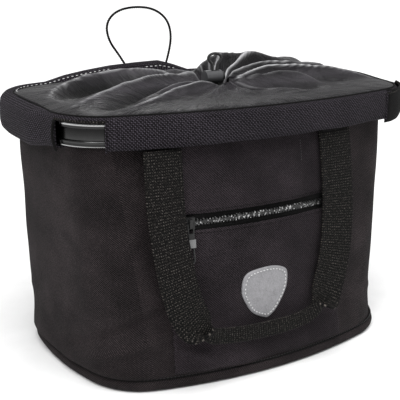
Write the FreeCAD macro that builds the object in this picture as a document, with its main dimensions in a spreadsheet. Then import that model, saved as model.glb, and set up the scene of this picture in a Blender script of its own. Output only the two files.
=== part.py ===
import FreeCAD, Part
import math
import os

import Sketcher
from FreeCAD import Placement, Rotation, Vector

# Soft handlebar basket: a woven bag on an oval aluminium rim, with a drawstring cover, a zipped
# front pocket, two webbing handles and a quick-release handlebar adapter at the back.
# Millimetres. +X is the basket's right, -Y its front, +Z up; the origin is the middle of the base.

os.makedirs("parts", exist_ok=True)
doc = FreeCAD.newDocument("handlebar_basket")

SIZES = {
    # rim outline, an oval of eight tangent arcs, and the fabric sleeve round it
    "rim_half_width": 181.0,
    "rim_front": 111.5,
    "rim_rear": 111.5,
    "rim_shift": 0.0,
    "rim_front_radius": 580.0,
    "rim_rear_radius": 580.0,
    "rim_end_radius": 868.0,
    "rim_corner_radius": 49.0,
    "sleeve_bottom": 209.0,
    "sleeve_top": 238.0,
    "sleeve_skin": 1.8,
    "sleeve_depth": 17.0,
    "sleeve_crown": 13.2,
    "seam_height": 235.4,
    "sleeve_round": 4.0,
    "window_edge": 149.0,
    "window_back": 59.0,
    "window_top": 233.2,
    # aluminium rim frame
    "frame_bottom": 211.5,
    "frame_height": 21.0,
    "frame_inset": 3.0,
    "bead_width": 6.0,
    "web_width": 2.6,
    "frame_gap": 0.6,
    # base outline
    "base_half_width": 164.0,
    "base_front": 125.0,
    "base_rear": 99.0,
    "base_shift": 0.0,
    "base_front_radius": 420.0,
    "base_rear_radius": 580.0,
    "base_end_radius": 265.0,
    "base_corner_radius": 58.0,
    "base_skin": 2.0,
    "edge_height": 9.0,
    "edge_width": 4.0,
    "board_thickness": 3.0,
    # body wall
    "wall_inset_low": 2.0,
    "wall_inset_high": 16.0,
    "wall_thickness": 2.5,
    # cover and drawstring
    "cover_thickness": 1.6,
    "cover_inset": 13.4,
    "cover_crest": 243.0,
    "cover_crest_inset": 44.0,
    "mouth_height": 238.6,
    "mouth_x": -3.0,
    "mouth_y": -30.0,
    "mouth_half_width": 20.0,
    "mouth_front": 16.0,
    "mouth_rear": 16.0,
    "mouth_shift": 0.0,
    "mouth_front_radius": 30.0,
    "mouth_rear_radius": 30.0,
    "mouth_end_radius": 24.0,
    "mouth_corner_radius": 10.0,
    "mouth_radius": 9.0,
    "cord_diameter": 2.6,
    "lock_x": -3.0,
    "lock_y": -18.0,
    "lock_height": 249.0,
    "lock_diameter": 11.6,
    "lock_length": 17.0,
    # front pocket and its zip
    "front_centre": -10.5,
    "pocket_half_width": 88.0,
    "pocket_bottom": 14.0,
    "pocket_skin": 1.4,
    "pocket_gap": 1.0,
    "zip_height": 143.0,
    "zip_opening": 14.0,
    "zip_radius": 503.0,
    "zip_half_length": 84.0,
    "zip_depth": 104.8,
    "slider_x": -78.8,
    "lean_per_height": 0.1325,
    "tape_width": 10.5,
    "tape_thickness": 0.6,
    "tooth_pitch": 2.9,
    "slider_length": 9.0,
    "pin_reach": 6.0,
    "pull_length": 12.5,
    "pull_lean": 8.5,
    # webbing handles
    "webbing_width": 34.5,
    "webbing_thickness": 2.2,
    "leg_spread": 89.0,
    "front_handle_x": -14.1,
    "grip_drop": 169.5,
    "grip_width": 17.0,
    "grip_thickness": 5.0,
    "swing_y": 103.5,
    "swing_height": 206.5,
    "leg_offset": 6.0,
    # mounting plate and adapter
    "plate_width": 92.0,
    "plate_height": 82.0,
    "plate_bottom": 122.0,
    "plate_front": 97.6,
    "plate_thickness": 4.0,
    "rail_bottom": 145.0,
    "rail_height": 53.0,
    "slide_gap": 0.4,
    "block_width": 60.0,
    "block_depth": 26.0,
    "block_bottom": 140.0,
    "block_height": 60.0,
    "bar_radius": 12.7,
    "clamp_radius": 19.0,
    "clamp_width": 18.0,
    "clamp_x": 29.0,
    "bar_y": 152.0,
    "bar_height": 188.0,
    "screw_radius": 2.5,
    "cable_diameter": 2.2,
}
sheet = doc.addObject("Spreadsheet::Sheet", "sizes")
for row, (alias, value) in enumerate(SIZES.items(), start=1):
    sheet.set(f"A{row}", alias)
    sheet.set(f"B{row}", str(value))
    sheet.setAlias(f"B{row}", alias)
doc.recompute()

NODES = []
X_AXIS, Y_AXIS, Z_AXIS = Vector(1, 0, 0), Vector(0, 1, 0), Vector(0, 0, 1)


class Amount(float):
    """A number that remembers the sheet expression it comes from."""

    def __new__(cls, value, text):
        amount = super().__new__(cls, value)
        amount.text = text
        return amount

    def joined(self, sign, other, value, swapped=False):
        left, right = (other, self) if swapped else (self, other)
        return Amount(value, f"({text_of(left)} {sign} {text_of(right)})")

    def __add__(self, other):
        return self.joined("+", other, float(self) + float(other))

    def __radd__(self, other):
        return self.joined("+", other, float(self) + float(other), swapped=True)

    def __sub__(self, other):
        return self.joined("-", other, float(self) - float(other))

    def __rsub__(self, other):
        return self.joined("-", other, float(other) - float(self), swapped=True)

    def __mul__(self, other):
        return self.joined("*", other, float(self) * float(other))

    def __rmul__(self, other):
        return self.joined("*", other, float(self) * float(other), swapped=True)

    def __truediv__(self, other):
        return self.joined("/", other, float(self) / float(other))

    def __neg__(self):
        return Amount(-float(self), f"(0 - {self.text})")


def text_of(number):
    return number.text if isinstance(number, Amount) else repr(float(number))


def size(alias):
    return Amount(float(sheet.get(alias)), "sizes." + alias)


def bind(thing, **properties):
    """Sets properties of an object as expressions; two underscores stand for a dot."""
    for path, number in properties.items():
        thing.setExpression(path.replace("__", "."), text_of(number))
    return thing


def node(thing, label):
    """Names a finished sub-part and lists it for export."""
    thing.Label = label
    NODES.append(thing)
    return thing


# ---- solids from Part primitives ----

def box(name, low_x, high_x, low_y, high_y, low_z, high_z):
    made = doc.addObject("Part::Box", name)
    bind(made, Length=high_x - low_x, Width=high_y - low_y, Height=high_z - low_z)
    return bind(made, Placement__Base__x=low_x, Placement__Base__y=low_y, Placement__Base__z=low_z)


def cylinder(name, radius, height, at_x, at_y, at_z, axis=Z_AXIS):
    made = doc.addObject("Part::Cylinder", name)
    made.Placement = Placement(Vector(), Rotation(Z_AXIS, axis))
    bind(made, Radius=radius, Height=height)
    return bind(made, Placement__Base__x=at_x, Placement__Base__y=at_y, Placement__Base__z=at_z)


def fused(name, things):
    made = doc.addObject("Part::MultiFuse", name)
    made.Shapes = list(things)
    return made


def cut(name, base, *tools):
    made = doc.addObject("Part::Cut", name)
    made.Base = base
    made.Tool = tools[0] if len(tools) == 1 else fused(name + "_tools", tools)
    return made


def common(name, base, tool):
    made = doc.addObject("Part::Common", name)
    made.Base, made.Tool = base, tool
    return made


def group(name, things):
    made = doc.addObject("Part::Compound", name)
    made.Links = list(things)
    return made


# ---- bodies with sketches ----

def new_body(name):
    return doc.addObject("PartDesign::Body", name)


def new_sketch(body, name, plane="XY_Plane", offset=0.0, centre=None):
    sketch = body.newObject("Sketcher::SketchObject", name)
    support = next(item for item in body.Origin.OriginFeatures if item.Role == plane)
    sketch.AttachmentSupport = [(support, "")]
    sketch.MapMode = "FlatFace"
    sketch.setExpression("AttachmentOffset.Base.z", text_of(offset))
    if centre:
        sketch.setExpression("AttachmentOffset.Base.x", text_of(centre[0]))
        sketch.setExpression("AttachmentOffset.Base.y", text_of(centre[1]))
    return sketch


def fix_point(sketch, geometry, which, along_x, along_y):
    """Ties one point of the sketch to the origin by two bound distances."""
    for kind, axis_line, number in (("DistanceX", -2, along_x), ("DistanceY", -1, along_y)):
        if abs(float(number)) < 1e-9:
            sketch.addConstraint(Sketcher.Constraint("PointOnObject", geometry, which, axis_line))
            continue
        ends = (-1, 1, geometry, which) if number > 0 else (geometry, which, -1, 1)
        index = sketch.addConstraint(Sketcher.Constraint(kind, *ends, abs(float(number))))
        length = number if number > 0 else 0 - number
        sketch.setExpression(f"Constraints[{index}]", text_of(length))


def polygon(sketch, points):
    """A closed outline of straight lines through points with bound coordinates."""
    first = sketch.GeometryCount
    count = len(points)
    for number, (here, after) in enumerate(zip(points, points[1:] + points[:1])):
        start = Vector(float(here[0]), float(here[1]), 0)
        end = Vector(float(after[0]), float(after[1]), 0)
        sketch.addGeometry(Part.LineSegment(start, end), False)
    for number in range(count):
        following = first + (number + 1) % count
        sketch.addConstraint(Sketcher.Constraint("Coincident", first + number, 2, following, 1))
    for number, (along_x, along_y) in enumerate(points):
        fix_point(sketch, first + number, 1, along_x, along_y)
    return sketch


def corner_centre(half_width, depth, shift, long_radius, end_radius, radius):
    """Where a corner arc's centre lies when it is tangent inside a long arc and an end arc."""
    long_centre = Vector(0, long_radius - depth, 0)
    end_centre = Vector(half_width - end_radius, shift, 0)
    first, second = long_radius - radius, end_radius - radius
    between = end_centre - long_centre
    apart = between.Length
    along = (first**2 - second**2 + apart**2) / (2 * apart)
    aside = math.sqrt(first**2 - along**2)
    middle = long_centre + between * (along / apart)
    sideways = Vector(between.y, -between.x, 0) * (aside / apart)
    return max((middle + sideways, middle - sideways), key=lambda point: point.x - point.y)


def oval(sketch, kind, inset):
    """An oval of eight tangent arcs, moved inwards by inset: kind is rim, base or mouth."""
    half_width, shift = size(kind + "_half_width"), -size(kind + "_shift")
    front, rear = size(kind + "_front"), size(kind + "_rear")
    front_radius, rear_radius = size(kind + "_front_radius"), size(kind + "_rear_radius")
    end_radius, corner_radius = size(kind + "_end_radius"), size(kind + "_corner_radius")
    low = corner_centre(*map(float, (half_width, front, shift, front_radius, end_radius, corner_radius)))
    high = corner_centre(*map(float, (half_width, rear, -shift, rear_radius, end_radius, corner_radius)))
    high = Vector(high.x, -high.y, 0)
    front_centre, rear_centre = (0.0, front_radius - front), (0.0, rear - rear_radius)
    right_centre, left_centre = (half_width - end_radius, shift), (end_radius - half_width, shift)
    vectors = [Vector(float(spot[0]), float(spot[1]), 0)
               for spot in (front_centre, right_centre, rear_centre, left_centre)]
    low_left, high_left = Vector(-low.x, low.y, 0), Vector(-high.x, high.y, 0)
    arcs = [(vectors[0], front_radius, low_left, low), (low, corner_radius, vectors[0], vectors[1]),
            (vectors[1], end_radius, low, high), (high, corner_radius, vectors[1], vectors[2]),
            (vectors[2], rear_radius, high, high_left), (high_left, corner_radius, vectors[2], vectors[3]),
            (vectors[3], end_radius, high_left, low_left), (low_left, corner_radius, vectors[3], vectors[0])]
    first = sketch.GeometryCount
    for number, (centre, radius, start, end) in enumerate(arcs):
        is_corner = number % 2 == 1
        towards = (centre - start, centre - end) if is_corner else (start - centre, end - centre)
        angles = [math.atan2(direction.y, direction.x) for direction in towards]
        whole = Part.Circle(centre, Z_AXIS, float(radius) - float(inset))
        sketch.addGeometry(Part.ArcOfCircle(whole, *angles), False)
    for number, radius in enumerate(arc[1] for arc in arcs):
        following = first + (number + 1) % len(arcs)
        sketch.addConstraint(Sketcher.Constraint("Tangent", first + number, 2, following, 1))
        reach = radius - inset
        index = sketch.addConstraint(Sketcher.Constraint("Radius", first + number, float(reach)))
        sketch.setExpression(f"Constraints[{index}]", text_of(reach))
    for number, centre in zip((0, 2, 4, 6), (front_centre, right_centre, rear_centre, left_centre)):
        fix_point(sketch, first + number, 3, *centre)
    return sketch


def pad(body, sketch, length, midplane=False, name="Pad"):
    made = body.newObject("PartDesign::Pad", name)
    made.Profile = sketch
    made.Midplane = midplane
    return bind(made, Length=length)


def round_edges(body, edges, radius):
    finished = body.Tip
    rounding = body.newObject("PartDesign::Fillet", "Fillet")
    rounding.Base = (finished, edges)
    return bind(rounding, Radius=radius)


def loft(body, sketches, name="AdditiveLoft"):
    made = body.newObject("PartDesign::" + name, name)
    made.Profile = sketches[0]
    made.Sections = sketches[1:]
    made.Ruled = True
    made.Refine = False
    return made


def ring(body, name, outer, inner, low, high, kind="rim"):
    """An upright oval band between two insets."""
    sketch = new_sketch(body, name + "_sketch", offset=low)
    oval(sketch, kind, outer)
    oval(sketch, kind, inner)
    return pad(body, sketch, high - low, name=name)


def wall_skin(name, outer, inner, low=None, high=None):
    """A layer that follows the flared wall, from outer to inner insets beyond its face."""
    body = new_body(name)
    low = size("edge_height") if low is None else low
    high = size("sleeve_bottom") if high is None else high
    for kind, inset in (("AdditiveLoft", outer), ("SubtractiveLoft", inner)):
        base = new_sketch(body, kind + "_low", offset=low)
        oval(base, "base", size("wall_inset_low") + inset)
        top = new_sketch(body, kind + "_high", offset=high)
        oval(top, "rim", size("wall_inset_high") + inset)
        loft(body, [base, top], kind)
    return body


def block(name, plane, points, low, high):
    """A body with one padded polygon, between two offsets from a plane of its origin."""
    body = new_body(name)
    sketch = new_sketch(body, name + "_sketch", plane, low)
    polygon(sketch, points)
    pad(body, sketch, high - low)
    return body


def rectangle(low_x, high_x, low_y, high_y):
    return [(low_x, low_y), (high_x, low_y), (high_x, high_y), (low_x, high_y)]


def coil_spring(label, radius, wire, height, turns, base, axis):
    """A coil spring standing at a base point along an axis, as a round wire along short arcs."""
    turned = Rotation(Z_AXIS, axis)
    points = []
    for step in range(8 * turns + 1):
        angle = math.tau * step / 8
        across = Vector(radius * math.cos(angle), radius * math.sin(angle), height * step / (8 * turns))
        points.append(base + turned.multVec(across))
    return tube(label, points, wire)


def tube(label, points, diameter):
    """A round cord along straight runs joined by tangent arcs, as large as the runs allow."""
    edges, radii = [], []
    start = points[0]
    for before, here, after in zip(points, points[1:], points[2:]):
        into, out = (here - before).normalize(), (after - here).normalize()
        turn = into.getAngle(out)
        shorter = min((here - before).Length, (after - here).Length)
        reach = 0.45 * shorter
        radii.append(reach / math.tan(turn / 2))
        first, last = here - into * reach, here + out * reach
        bisector = (out - into).normalize()
        middle = here + bisector * (radii[-1] * (1 / math.cos(turn / 2) - 1))
        edges.append(Part.LineSegment(start, first).toShape())
        edges.append(Part.Arc(first, middle, last).toShape())
        start = last
    edges.append(Part.LineSegment(start, points[-1]).toShape())
    path = Part.Wire(edges)
    section = Part.Wire(Part.makeCircle(diameter / 2, points[0], (points[1] - points[0])))
    made = doc.addObject("Part::Feature", label)
    made.Shape = path.makePipeShell([section], True, False)
    expected = math.pi * (diameter / 2) ** 2 * path.Length
    print(f"{label}: {path.Length:.1f} mm long, smallest radius {min(radii):.1f} mm,",
          f"radii {[round(radius, 1) for radius in radii]}, volume share {made.Shape.Volume / expected:.4f}")
    return node(made, label)


def inset_of(edge):
    """How far inside the rim's outermost outline the middle of an edge lies."""
    middle = edge.valueAt((edge.FirstParameter + edge.LastParameter) / 2)
    return Part.Vertex(Vector(middle.x, middle.y, 0)).distToShape(rim_outline)[0]


def level_edges(shape, heights, insets):
    """The names of the level edges at some heights whose insets are among those given."""
    names = []
    for number, edge in enumerate(shape.Edges, start=1):
        bounds = edge.BoundBox
        at_height = any(abs(bounds.ZMin - float(height)) < 0.01 for height in heights)
        if bounds.ZLength > 1e-6 or not at_height:
            continue
        depth = inset_of(edge)
        if any(abs(depth - float(inset)) < 0.1 for inset in insets):
            names.append(f"Edge{number}")
    return names


# ---- rim frame: a tall aluminium extrusion with a round bead along each edge ----

def make_frame():
    inset, width = size("frame_inset"), size("bead_width")
    low, high = size("frame_bottom"), size("frame_bottom") + size("frame_height")
    web_inset = inset + (width - size("web_width")) / 2
    body = new_body("frame_ring")
    ring(body, "web", web_inset, web_inset + size("web_width"), low + 2, high - 2)
    ring(body, "low_bead", inset, inset + width, low, low + width)
    ring(body, "high_bead", inset, inset + width, high - width, high)
    beside_web = (width - size("web_width")) / 2
    for heights, radius in (((low, high), width * 0.45), ((low + width, high - width), beside_web * 0.9)):
        doc.recompute()
        edges = level_edges(body.Shape, heights, (inset, inset + width))
        round_edges(body, edges, radius)
    rear = size("rim_rear")
    half_gap = size("frame_gap") / 2
    slot = box("frame_gap_cut", -half_gap, half_gap, rear - 20, rear, low - 1, high + 1)
    drills = [cylinder(f"rivet_hole_{number}", 1.6, 12, side, rear - 12, size("frame_bottom") + 10.5,
                       Y_AXIS) for number, side in enumerate((-14.0, -6.0, 6.0, 14.0))]
    node(cut("rim_frame_solid", body, slot, *drills), "rim_frame")
    plate_rear = rear - web_inset - size("web_width") - 0.6
    plate = box("joint_plate_blank", -20, 20, plate_rear - 1.5, plate_rear, low + 6.2, high - 6.2)
    node(cut("joint_plate_solid", plate, *drills), "frame_joint_plate")
    rivets = []
    for number, side in enumerate((-14.0, -6.0, 6.0, 14.0)):
        shank = cylinder(f"rivet_shank_{number}", 1.55, 6.1, side, plate_rear - 2.3, low + 10.5, Y_AXIS)
        head = cylinder(f"rivet_head_{number}", 2.8, 0.8, side, plate_rear - 2.35, low + 10.5, Y_AXIS)
        rivets.append(fused(f"rivet_{number}", [shank, head]))
    node(group("rivet_group", rivets), "frame_rivets")


# ---- fabric sleeve round the rim, in four sewn lengths, open at the two front corners ----

def make_sleeves():
    skin, depth, crown = size("sleeve_skin"), size("sleeve_depth"), size("sleeve_crown")
    low, high, seam = size("sleeve_bottom"), size("sleeve_top"), size("seam_height")
    body = new_body("sleeve_ring")
    ring(body, "outer_face", 0.0, skin, low, high)
    ring(body, "crown", 0.0, crown, high - skin, high)
    ring(body, "step", crown - 1.6, crown, seam - 1.6, high)
    ring(body, "ledge", crown - 1.6, depth, seam - 1.6, seam)
    ring(body, "inner_face", depth - skin, depth, low, seam)
    ring(body, "underside", 0.0, depth, low, low + 1.4)
    doc.recompute()
    edges = level_edges(body.Shape, (high,), (0.0,))
    round_edges(body, edges, size("sleeve_round"))
    edge, back = size("window_edge"), size("window_back")
    cutter = new_body("window_ring")
    ring(cutter, "window_band", -2.0, depth - skin, low - 1, size("window_top"))
    windows = []
    for side, low_x, high_x in (("left", -size("rim_half_width") - 5, -edge),
                                ("right", edge, size("rim_half_width") + 5)):
        corner = box(f"window_box_{side}", low_x, high_x, -size("rim_front") - 5, -back, low - 2, high)
        windows.append(common(f"window_{side}", cutter, corner))
    whole = cut("sleeve_with_windows", body, *windows)
    far_x, far_y = size("rim_half_width") + 10, size("rim_front") + 10
    for label, low_x, high_x, low_y, high_y in (("front", -edge, edge, -far_y, 0.0),
                                                ("rear", -edge, edge, 0.0, far_y),
                                                ("left", -far_x, -edge, -far_y, far_y),
                                                ("right", edge, far_x, -far_y, far_y)):
        piece = box(f"sleeve_{label}_box", low_x, high_x, low_y, high_y, low - 5, high + 5)
        node(common(f"sleeve_{label}_solid", whole, piece), f"rim_sleeve_{label}")


# ---- bag: wall, base and back reinforcement ----

def screw_places():
    """Where the four mounting screws go through the plate, the wall and the stiffener."""
    across = size("plate_width") / 2 - 9
    low = size("plate_bottom") + 9
    high = size("plate_bottom") + size("plate_height") - 9
    return [(side * across, height) for height in (low, high) for side in (-1, 1)]


def screw_holes(name, radius):
    return [cylinder(f"{name}_hole_{number}", radius, 40, across, 75, height, Y_AXIS)
            for number, (across, height) in enumerate(screw_places())]


def make_bag():
    wall = wall_skin("wall_shell", 0.0, size("wall_thickness"))
    node(cut("wall_solid", wall, *screw_holes("wall", 2.7)), "body_wall")
    panel = new_body("base_panel_body")
    sketch = oval(new_sketch(panel, "base_outline"), "base", 0.0)
    pad(panel, sketch, size("base_skin"))
    node(panel, "base_panel")
    edge = new_body("base_edge_body")
    ring(edge, "edge_band", 0.0, size("edge_width"), size("base_skin"), size("edge_height"), "base")
    node(edge, "base_edge")
    board = new_body("base_board_body")
    low = size("base_skin")
    sketch = oval(new_sketch(board, "board_outline", offset=low), "base", size("edge_width") + 0.5)
    pad(board, sketch, size("board_thickness"))
    node(board, "base_board")
    rear = size("plate_front") - 7.4
    across = size("plate_width") / 2
    sheet_low, sheet_high = size("plate_bottom") - 6, size("plate_bottom") + size("plate_height") + 2
    blank = box("stiffener_blank", -across, across, rear - 2, rear, sheet_low, sheet_high)
    node(cut("stiffener_solid", blank, *screw_holes("stiffener", 2.7)), "back_stiffener")


# ---- drawstring cover, its cord and the cord lock ----

def make_cover():
    seam, crest, mouth = size("seam_height"), size("cover_crest"), size("mouth_height")
    inset, crest_inset = size("cover_inset"), size("cover_crest_inset")
    skin = size("cover_thickness")
    body = new_body("cover_body")
    for kind, lower in (("AdditiveLoft", 0.0), ("SubtractiveLoft", skin)):
        first = new_sketch(body, kind + "_seam", offset=seam - lower)
        oval(first, "rim", inset + lower)
        second = new_sketch(body, kind + "_crest", offset=crest - lower)
        oval(second, "rim", crest_inset)
        third = new_sketch(body, kind + "_mouth", offset=mouth - lower,
                           centre=(size("mouth_x"), size("mouth_y")))
        oval(third, "mouth", 0.0)
        loft(body, [first, second, third], kind)
    hole = cylinder("mouth_hole", size("mouth_radius"), 30, size("mouth_x"), size("mouth_y"), 220)
    node(cut("cover_solid", body, hole), "drawstring_cover")


def cord_points():
    """The drawstring's own route: out of the hem, up through the lock, over, and back down."""
    x, y = float(size("mouth_x")), float(size("mouth_y"))
    level = float(size("mouth_height")) + 1.6
    strand = 2.0
    half = [(2.2, -11.5, 0), (7.6, -9.3, 0), (11.6, -4.4, 0), (11.8, 1.6, 0), (9.0, 7.0, 0.1),
            (5.2, 10.6, 0.4), (strand, 12.0, 2.3), (strand + 0.1, 12.1, 20.0), (6.2, 12.2, 23.2),
            (7.2, 12.3, 26.4), (4.4, 12.4, 29.0)]
    left = [Vector(x - across, y + along, level + up) for across, along, up in half]
    right = [Vector(x + across, y + along, level + up) for across, along, up in half]
    return left + [Vector(x, y + 12.4, level + 29.8)] + right[::-1]


def make_lock():
    x, y, middle = size("lock_x"), size("lock_y"), size("lock_height")
    length, radius = size("lock_length"), size("lock_diameter") / 2
    left, floor = x - length / 2 - 2.5, x - length / 2 - 1.1
    barrel = cylinder("lock_barrel", radius, length, left, y, middle, X_AXIS)
    bore = cylinder("lock_bore", radius - 1.5, length, floor, y, middle, X_AXIS)
    slot = box("lock_slot", x - 4.2, x + 4.2, y - 2.2, y + 2.2, middle - 10, middle + 10)
    node(cut("lock_body_solid", barrel, bore, slot), "cord_lock_body")
    plunger = cylinder("lock_plunger", radius - 1.8, 14.0, x - 4.8, y, middle, X_AXIS)
    window = box("plunger_slot", x - 3.7, x + 7.6, y - 2.2, y + 2.2, middle - 10, middle + 10)
    node(cut("lock_button_solid", plunger, window), "cord_lock_button")
    start = Vector(float(floor) + 0.4, float(y), float(middle))
    coil_spring("cord_lock_spring", 2.7, 0.6, float(x) - 5.2 - start.x, 3, start, X_AXIS)


# ---- front pocket: panels, zip, slider with its pull, reflective patch ----

def pocket_tool(name, low, high, half_width):
    middle = size("front_centre")
    return box(name, middle - half_width, middle + half_width, -140, -60, low, high)


def make_pocket():
    gap, skin = size("pocket_gap"), size("pocket_skin")
    half, height = size("pocket_half_width"), size("zip_height")
    opening = size("zip_opening") / 2
    layer = wall_skin("pocket_layer", -(gap + skin), -gap)
    lower = pocket_tool("pocket_lower_box", size("pocket_bottom"), height - opening, half)
    node(common("pocket_lower_solid", layer, lower), "pocket_panel_lower")
    top = size("sleeve_bottom") - size("webbing_thickness") - 0.3
    upper = pocket_tool("pocket_upper_box", height + opening, top, half)
    node(common("pocket_upper_solid", layer, upper), "pocket_panel_upper")
    patch_layer = wall_skin("patch_layer", -(gap + skin + 0.9), -(gap + skin + 0.05))
    outline = [(-24, 17), (-17, 22), (0, 25), (17, 24), (24, 18), (23, 4), (16, -12), (7, -22),
               (0, -25), (-8, -21), (-18, -10), (-24, 3)]
    middle = size("front_centre")
    points = [(middle + across, up + 75.0) for across, up in outline]
    shield = block("patch_shield", "XZ_Plane", points, 60.0, 140.0)
    node(common("patch_solid", patch_layer, shield), "reflective_patch")


def zip_body(name, angle):
    """A body whose Z axis is the axis of the zip's arc, turned so that -Y meets the zip at angle."""
    body = new_body(name)
    body.Placement = Placement(zip_centre, Rotation(Z_AXIS, angle))
    return body


def zip_arc(label, profile, half_angle):
    """A band of the zip: a profile of radius and height, turned about the zip's axis."""
    body = zip_body(label + "_body", math.degrees(float(size("front_centre")) / zip_face))
    sketch = new_sketch(body, label + "_profile", "YZ_Plane")
    polygon(sketch, [(-radius, height) for radius, height in profile])
    turn = body.newObject("PartDesign::Revolution", label + "_turn")
    turn.Profile = sketch
    turn.ReferenceAxis = (sketch, ["V_Axis"])
    turn.Midplane = True
    bind(turn, Angle=2 * half_angle)
    return node(body, label)


def zip_teeth(label, low, width, start):
    """A row of separate teeth, patterned about the zip's axis from a start angle."""
    body = zip_body(label + "_body", start)
    sketch = new_sketch(body, label + "_tooth", offset=low)
    near = zip_face + size("tape_thickness") + 0.3
    polygon(sketch, rectangle(-0.65, 0.65, -near - 2.2, -near))
    tooth = pad(body, sketch, width)
    step = math.degrees(float(size("tooth_pitch")) / zip_face)
    count = int(2 * zip_half_angle / step) - 1
    pattern = body.newObject("PartDesign::PolarPattern", label + "_row")
    pattern.Originals = [tooth]
    pattern.Axis = (next(item for item in body.Origin.OriginFeatures if item.Role == "Z_Axis"), [""])
    pattern.Angle = step * (count - 1)
    pattern.Occurrences = count
    pattern.Refine = False
    body.Tip = pattern
    return node(body, label)


def make_zip():
    middle, tape, skin = size("zip_height"), size("tape_width"), size("tape_thickness")
    near, far = zip_face + 0.2, zip_face + 0.2 + skin
    lean = size("lean_per_height")
    for label, low, high in (("zipper_tape_lower", middle - tape, middle - 0.3),
                             ("zipper_tape_upper", middle + 0.3, middle + tape)):
        profile = [(radius + (middle - height) * lean, height)
                   for radius, height in ((near, low), (far, low), (far, high), (near, high))]
        zip_arc(label, profile, zip_half_angle)
    centre_angle = math.degrees(float(size("front_centre")) / zip_face)
    step = math.degrees(float(size("tooth_pitch")) / zip_face)
    begin = centre_angle - zip_half_angle + 1.5 * step
    zip_teeth("zipper_teeth_lower", middle - 2.6, 3.7, begin)
    zip_teeth("zipper_teeth_upper", middle - 1.1, 3.7, begin + step / 2)
    stops = []
    for number, angle in enumerate((centre_angle - zip_half_angle + 0.4 * step,
                                    centre_angle + zip_half_angle - 0.4 * step)):
        body = zip_body(f"zip_stop_{number}", angle)
        sketch = new_sketch(body, f"stop_outline_{number}", offset=middle - 3.2)
        polygon(sketch, rectangle(-1.0, 1.0, -far - 2.4, -far - 0.1))
        pad(body, sketch, 6.4)
        stops.append(body)
    node(group("zip_stop_group", stops), "zipper_stops")


def slider_piece(name, low_x, high_x, near, far, low, high):
    """A block of the slider in the zip's frame: across, out from the face, and height."""
    body = zip_body(name, slider_angle)
    sketch = new_sketch(body, name + "_outline", offset=low)
    polygon(sketch, rectangle(low_x, high_x, -zip_face - far, -zip_face - near))
    pad(body, sketch, high - low)
    return body


def make_slider():
    middle, half = size("zip_height"), size("slider_length") / 2
    front = size("tape_thickness") + 0.3 + 2.2 + 0.4
    plate = slider_piece("slider_plate", -half, half, front, front + 1.4, middle - 5.0, middle + 5.0)
    sides = [slider_piece(f"slider_side_{number}", -half, half, 2.0, front + 0.7, low, low + 1.3)
             for number, low in enumerate((middle - 5.0, middle + 3.7))]
    posts = [slider_piece(f"slider_post_{number}", -1.3, 1.3, front + 1.0, front + 4.6, low, low + 1.4)
             for number, low in enumerate((middle - 3.2, middle + 3.0))]
    arch = slider_piece("slider_arch", -1.3, 1.3, front + 3.6, front + 4.8, middle - 3.2, middle + 4.4)
    node(fused("slider_solid", [plate, *sides, *posts, arch]), "zipper_slider")


def pull_piece(name, low_x, high_x, low_y, high_y, low, high):
    """A block of the pull in its own frame: the pin is the origin and it hangs along -Z."""
    body = new_body(name)
    body.Placement = pull_place
    sketch = new_sketch(body, name + "_outline", offset=low)
    polygon(sketch, rectangle(low_x, high_x, low_y, high_y))
    pad(body, sketch, high - low)
    return body


def make_pull():
    long = size("pull_length")
    cheeks = [pull_piece(f"pull_cheek_{number}", low, low + 1.2, -0.8, 0.8, -long, 0.7)
              for number, low in enumerate((-3.0, 1.8))]
    bars = [pull_piece("pull_bar_high", -3.0, 3.0, -0.7, 0.7, -0.7, 0.7),
            pull_piece("pull_bar_low", -3.0, 3.0, -0.8, 0.8, -long, 5.0 - long)]
    node(fused("pull_solid", [*cheeks, *bars]), "zipper_pull")
    node(pull_piece("pull_tab_body", -3.6, 3.6, -1.6, 1.6, -long - 7.0, -long), "pull_tab")
    start = -float(long) - 7.0
    loop = [(-1.9, 0), (-2.1, -4.5), (-2.4, -9), (-2.2, -12.6), (0, -14.6), (2.2, -12.6), (2.4, -9),
            (2.1, -4.5), (1.9, 0)]
    points = [pull_place.multVec(Vector(across, 0, start + up)) for across, up in loop]
    tube("pull_loop", points, 1.4)


# ---- webbing handles ----

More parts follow.
